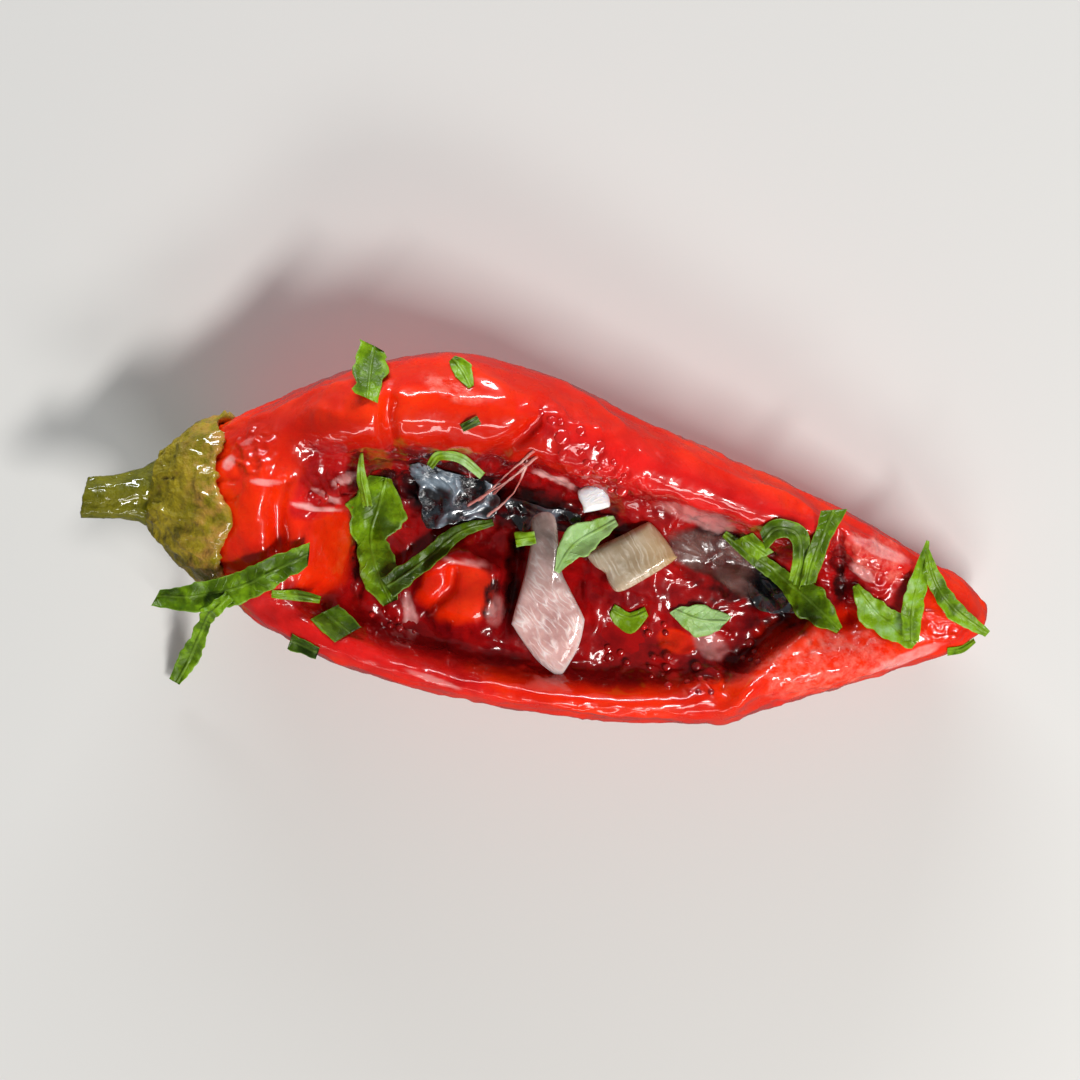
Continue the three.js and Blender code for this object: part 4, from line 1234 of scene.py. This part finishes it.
def char_material():
    n = Nodes("charred_skin")
    # Painted reflection of the window: bluish grey on the crests of the folds.
    ash = n.times(n.ramp(n.mask("ash"), 0.2, 0.8), n.mottle(420, 4, 0.34, 0.6))
    return n.finish(
        n.blend(ash, (0.005, 0.006, 0.009), (0.20, 0.26, 0.32)), n.mottle(420, 3, 0.3, 0.7, 0.20, 0.36),
        Specular_IOR_Level=1.0, **wet(1.0, 0.04, 1.7), Normal=n.bump(n.noise(560, 3, 0.5), 0.6, 0.0008),
    )


def loose_skin_material():
    n = Nodes("loosened_skin")
    haze = n.mottle(300, 3, 0.35, 0.7)
    return n.finish(
        n.blend(haze, (0.12, 0.020, 0.018), (0.26, 0.15, 0.13)), 0.22,
        Alpha=n.times(n.mask("inside"), n.ramp(haze, 0, 1, 0.4, 0.8)),
        **soft(0.3, (1.0, 0.5, 0.4), 0.001), **wet(0.6, 0.05), Normal=n.bump(n.noise(800, 4), 0.3, 0.0003),
    )


def strand_material():
    n = Nodes("skin_strands")
    return n.finish(
        n.blend(n.mottle(500, 4, 0.35, 0.65), (0.62, 0.12, 0.10), (0.88, 0.52, 0.48)), 0.2,
        **soft(0.3, (1.0, 0.5, 0.4), 0.0006), **wet(0.9, 0.04), Normal=n.bump(n.noise(1500, 3), 0.2, 0.0002),
    )


def juice_material():
    n = Nodes("cooking_juice")
    return n.finish(
        n.blend(n.mottle(300, 4, 0.35, 0.65), (0.18, 0.001, 0.002), (0.44, 0.004, 0.004)), 0.08,
        Specular_IOR_Level=0.1, **wet(1.0, 0.02, 1.4), Normal=n.bump(n.noise(600, 4), 0.3, 0.0004),
    )


def bead_material():
    n = Nodes("juice_beads")
    return n.finish(
        n.blend(n.mask("tone"), (0.16, 0.002, 0.003), (0.60, 0.010, 0.008)), 0.06,
        **soft(0.2, (1.0, 0.2, 0.15), 0.0005), **wet(1.0, 0.02),
    )


def stalk_material():
    n = Nodes("cooked_stalk")
    cap = n.mask("cap")
    mottle = n.mottle(420, 5, 0.32, 0.68)
    colour = n.layers(
        n.blend(mottle, (0.085, 0.085, 0.001), (0.19, 0.175, 0.004)),
        (cap, n.blend(mottle, (0.15, 0.125, 0.002), (0.36, 0.27, 0.012))),
        (n.times(n.mask("edge"), n.mottle(650, 4, 0.42, 0.66)), (0.46, 0.24, 0.05)),
        (n.times(cap, n.mottle(560, 4, 0.58, 0.74, 0, 0.8, 0.6)), (0.11, 0.055, 0.009)),
        (n.times(n.mask("cut"), n.mottle(900, 3, 0.3, 0.6, 0.6, 1)), (0.42, 0.40, 0.19)),
    )
    return n.finish(
        colour, n.mottle(600, 3, 0.3, 0.7, 0.22, 0.42), Specular_IOR_Level=0.1,
        **soft(0.2, (0.7, 0.6, 0.1), 0.0012), **wet(1.0, 0.04),
        Normal=n.bump(n.noise(620, 5, 0.6), 0.8, 0.0009),
    )


def onion_material(colours, fibre_turn, fibre_long=0.2, fibres_per_mm=2.0):
    """Fibres cross the piece at fibre_turn degrees from its long axis."""
    n = Nodes("cooked_onion")
    flesh, cloudy, fibre, rim, heated = colours
    c, s = math.cos(math.radians(fibre_turn)), math.sin(math.radians(fibre_turn))
    long, wide = n.mask("long"), n.mask("wide")
    lengthwise = n.plus(n.times(long, fibre_long * c), n.times(wide, fibre_long * s))
    crosswise = n.math("SUBTRACT", n.times(wide, c), n.times(long, s))
    wandering = n.plus(crosswise, n.mottle(260, 3, 0, 1, -0.9, 0.9))
    place = n.add("ShaderNodeCombineXYZ", {0: lengthwise, 1: wandering}).outputs[0]
    inputs = {"Vector": place, "Scale": fibres_per_mm}
    cells = n.add("ShaderNodeTexVoronoi", inputs, feature="DISTANCE_TO_EDGE")
    fibres = n.times(n.ramp(cells.outputs["Distance"], 0.0, 0.16, 1, 0), n.mottle(700, 3, 0.35, 0.6))
    cloud = n.mottle(330, 4, 0.35, 0.65)
    colour = n.layers(
        n.blend(cloud, flesh, cloudy),
        (n.times(fibres, 0.75), fibre),
        (n.ramp(n.mask("rim"), 0.9, 1.0, 0, 0.8), rim),
        (n.times(n.mask("smoky"), n.ramp(cloud, 0, 1, 0.9, 0.6)), heated),
    )
    return n.finish(
        colour, n.ramp(fibres, 0, 1, 0.2, 0.34), IOR=1.38, Specular_IOR_Level=0.35,
        **soft(0.8, (1.0, 0.8, 0.65), 0.0018), **wet(0.7, 0.05), Normal=n.bump(fibres, 0.3, 0.0003),
    )


def herb_material():
    n = Nodes("chopped_herb")
    from_midrib = n.math("ABSOLUTE", n.mask("across"))
    slanted = n.math("SUBTRACT", n.mask("walk"), n.times(from_midrib, VEIN_SLANT))
    wandering = n.plus(slanted, n.mottle(900, 3, 0, 1, -0.5, 0.5))
    wave = n.math("SINE", n.times(wandering, VEIN_WAVE))
    veins = n.times(n.ramp(n.math("ABSOLUTE", wave), 0.0, 0.3, 1.0, 0.0), n.mottle(420, 3, 0.45, 0.65))
    lines = n.math("MAXIMUM", n.ramp(from_midrib, 0.05, 0.2, 1.0, 0.0), n.times(veins, 0.6))
    uneven = n.plus(n.mottle(260, 4, 0.3, 0.7, -0.34, 0.42), n.mottle(1100, 3, 0.3, 0.7, -0.12, 0.12))
    shade = n.plus(n.times(n.mask("tone"), 0.8), uneven)
    colour = n.layers(
        n.blend(n.ramp(shade, 0.0, 0.5), (0.022, 0.048, 0.002), (0.090, 0.175, 0.001)),
        (n.ramp(shade, 0.4, 0.72), (0.20, 0.37, 0.005)),
        # painted sheen: the lightest pieces turn a pale whitish green
        (n.ramp(shade, 0.72, 1.0), (0.31, 0.52, 0.19)),
        (n.times(lines, 0.16), (0.30, 0.48, 0.07)),
        (n.ramp(n.math("ABSOLUTE", n.mask("side")), 0.88, 1.0, 0.0, 0.5), (0.24, 0.42, 0.03)),
    )
    return n.finish(
        colour, n.mottle(700, 3, 0.3, 0.7, 0.26, 0.46), Specular_IOR_Level=0.3,
        **soft(0.12, (0.5, 1.0, 0.1), 0.0006), Normal=n.bump(n.plus(lines, n.noise(1100, 4)), 0.5, 0.0003),
    )


# ---- Camera, lights and floor ----
VIEW_TURN = 9.7  # degrees: the pepper's axis falls to the right by this much in the frame
VIEW_LEAN = (2.3, 7.3)  # degrees off the vertical, towards the frame's right and towards its top
CAMERA_DISTANCE = 0.45
FRAME_WIDTH = 0.112  # metres across at the pepper
SENSOR_WIDTH = 36
FLOOR_REACH = 1.5

DAYLIGHT = (0.93, 0.97, 1.0)
LAMPLIGHT = (1.0, 0.98, 0.95)
# Area lights: name, place, width and height in metres, watts, colour.
LIGHTS = (
    ("window", (-0.16, 0.55, 0.13), (0.54, 0.08), 4.4, DAYLIGHT),
    ("strip", (0.28, -0.18, 0.50), (0.28, 0.08), 3.0, LAMPLIGHT),
    ("south", (0.16, -0.42, 0.36), (0.24, 0.10), 1.0, LAMPLIGHT),
    ("low_south", (0.03, -0.42, 0.08), (0.40, 0.025), 0.28, LAMPLIGHT),
)
LIT_PLACE = Vector((0, 0, 0.01))
SKY_COLOUR = (0.92, 0.95, 1.0, 1)
SKY_STRENGTH = 0.12


def make_camera():
    data = bpy.data.cameras.new("camera")
    data.sensor_width = SENSOR_WIDTH
    data.lens = SENSOR_WIDTH * CAMERA_DISTANCE / FRAME_WIDTH
    camera = new_object("camera", data)
    low, high = cad_box
    middle = Matrix.Translation(((low.x + high.x) / 2, (low.y + high.y) / 2, high.z / 2))
    turn = Matrix.Rotation(math.radians(VIEW_TURN), 4, "Z")
    lean_right, lean_up = (math.tan(math.radians(a)) for a in VIEW_LEAN)
    back = Vector((lean_right, lean_up, 1)).normalized()
    right = Vector((0, 1, 0)).cross(back).normalized()
    axes = Matrix((right, back.cross(right), back)).transposed().to_4x4()
    camera.matrix_world = middle @ turn @ Matrix.Translation(back * CAMERA_DISTANCE) @ axes
    bpy.context.scene.camera = camera


def make_lights():
    for name, place, size, power, colour in LIGHTS:
        data = bpy.data.lights.new(name, "AREA")
        data.shape = "RECTANGLE"
        data.size, data.size_y = size
        data.energy = power
        data.color = colour
        light = new_object(name, data)
        light.location = place
        light.rotation_euler = (LIT_PLACE - Vector(place)).to_track_quat("-Z", "Y").to_euler()
    world = bpy.data.worlds.new("studio")
    world.use_nodes = True
    background = world.node_tree.nodes["Background"].inputs
    background["Color"].default_value = SKY_COLOUR
    background["Strength"].default_value = SKY_STRENGTH
    bpy.context.scene.world = world
    bpy.context.scene.view_settings.view_transform = "Standard"


def make_floor():
    mesh = bpy.data.meshes.new("floor")
    corners = [(FLOOR_REACH * x, FLOOR_REACH * y, 0) for x, y in ((-1, -1), (1, -1), (1, 1), (-1, 1))]
    mesh.from_pydata(corners, [], [(0, 1, 2, 3)])
    mesh.materials.append(Nodes("pale_floor").finish((0.62, 0.615, 0.60, 1), 0.8))
    floor = new_object("floor", mesh)
    floor.visible_glossy = False  # a wet skin on a dark dish mirrors no pale table


make_camera()
make_lights()
make_floor()
make_flesh()
make_stalk()
make_films()
make_strands()
make_pools()
make_onion(ONION_PETAL)
make_onion(ONION_SQUARE)
make_crumb()
make_beads()
make_herbs()
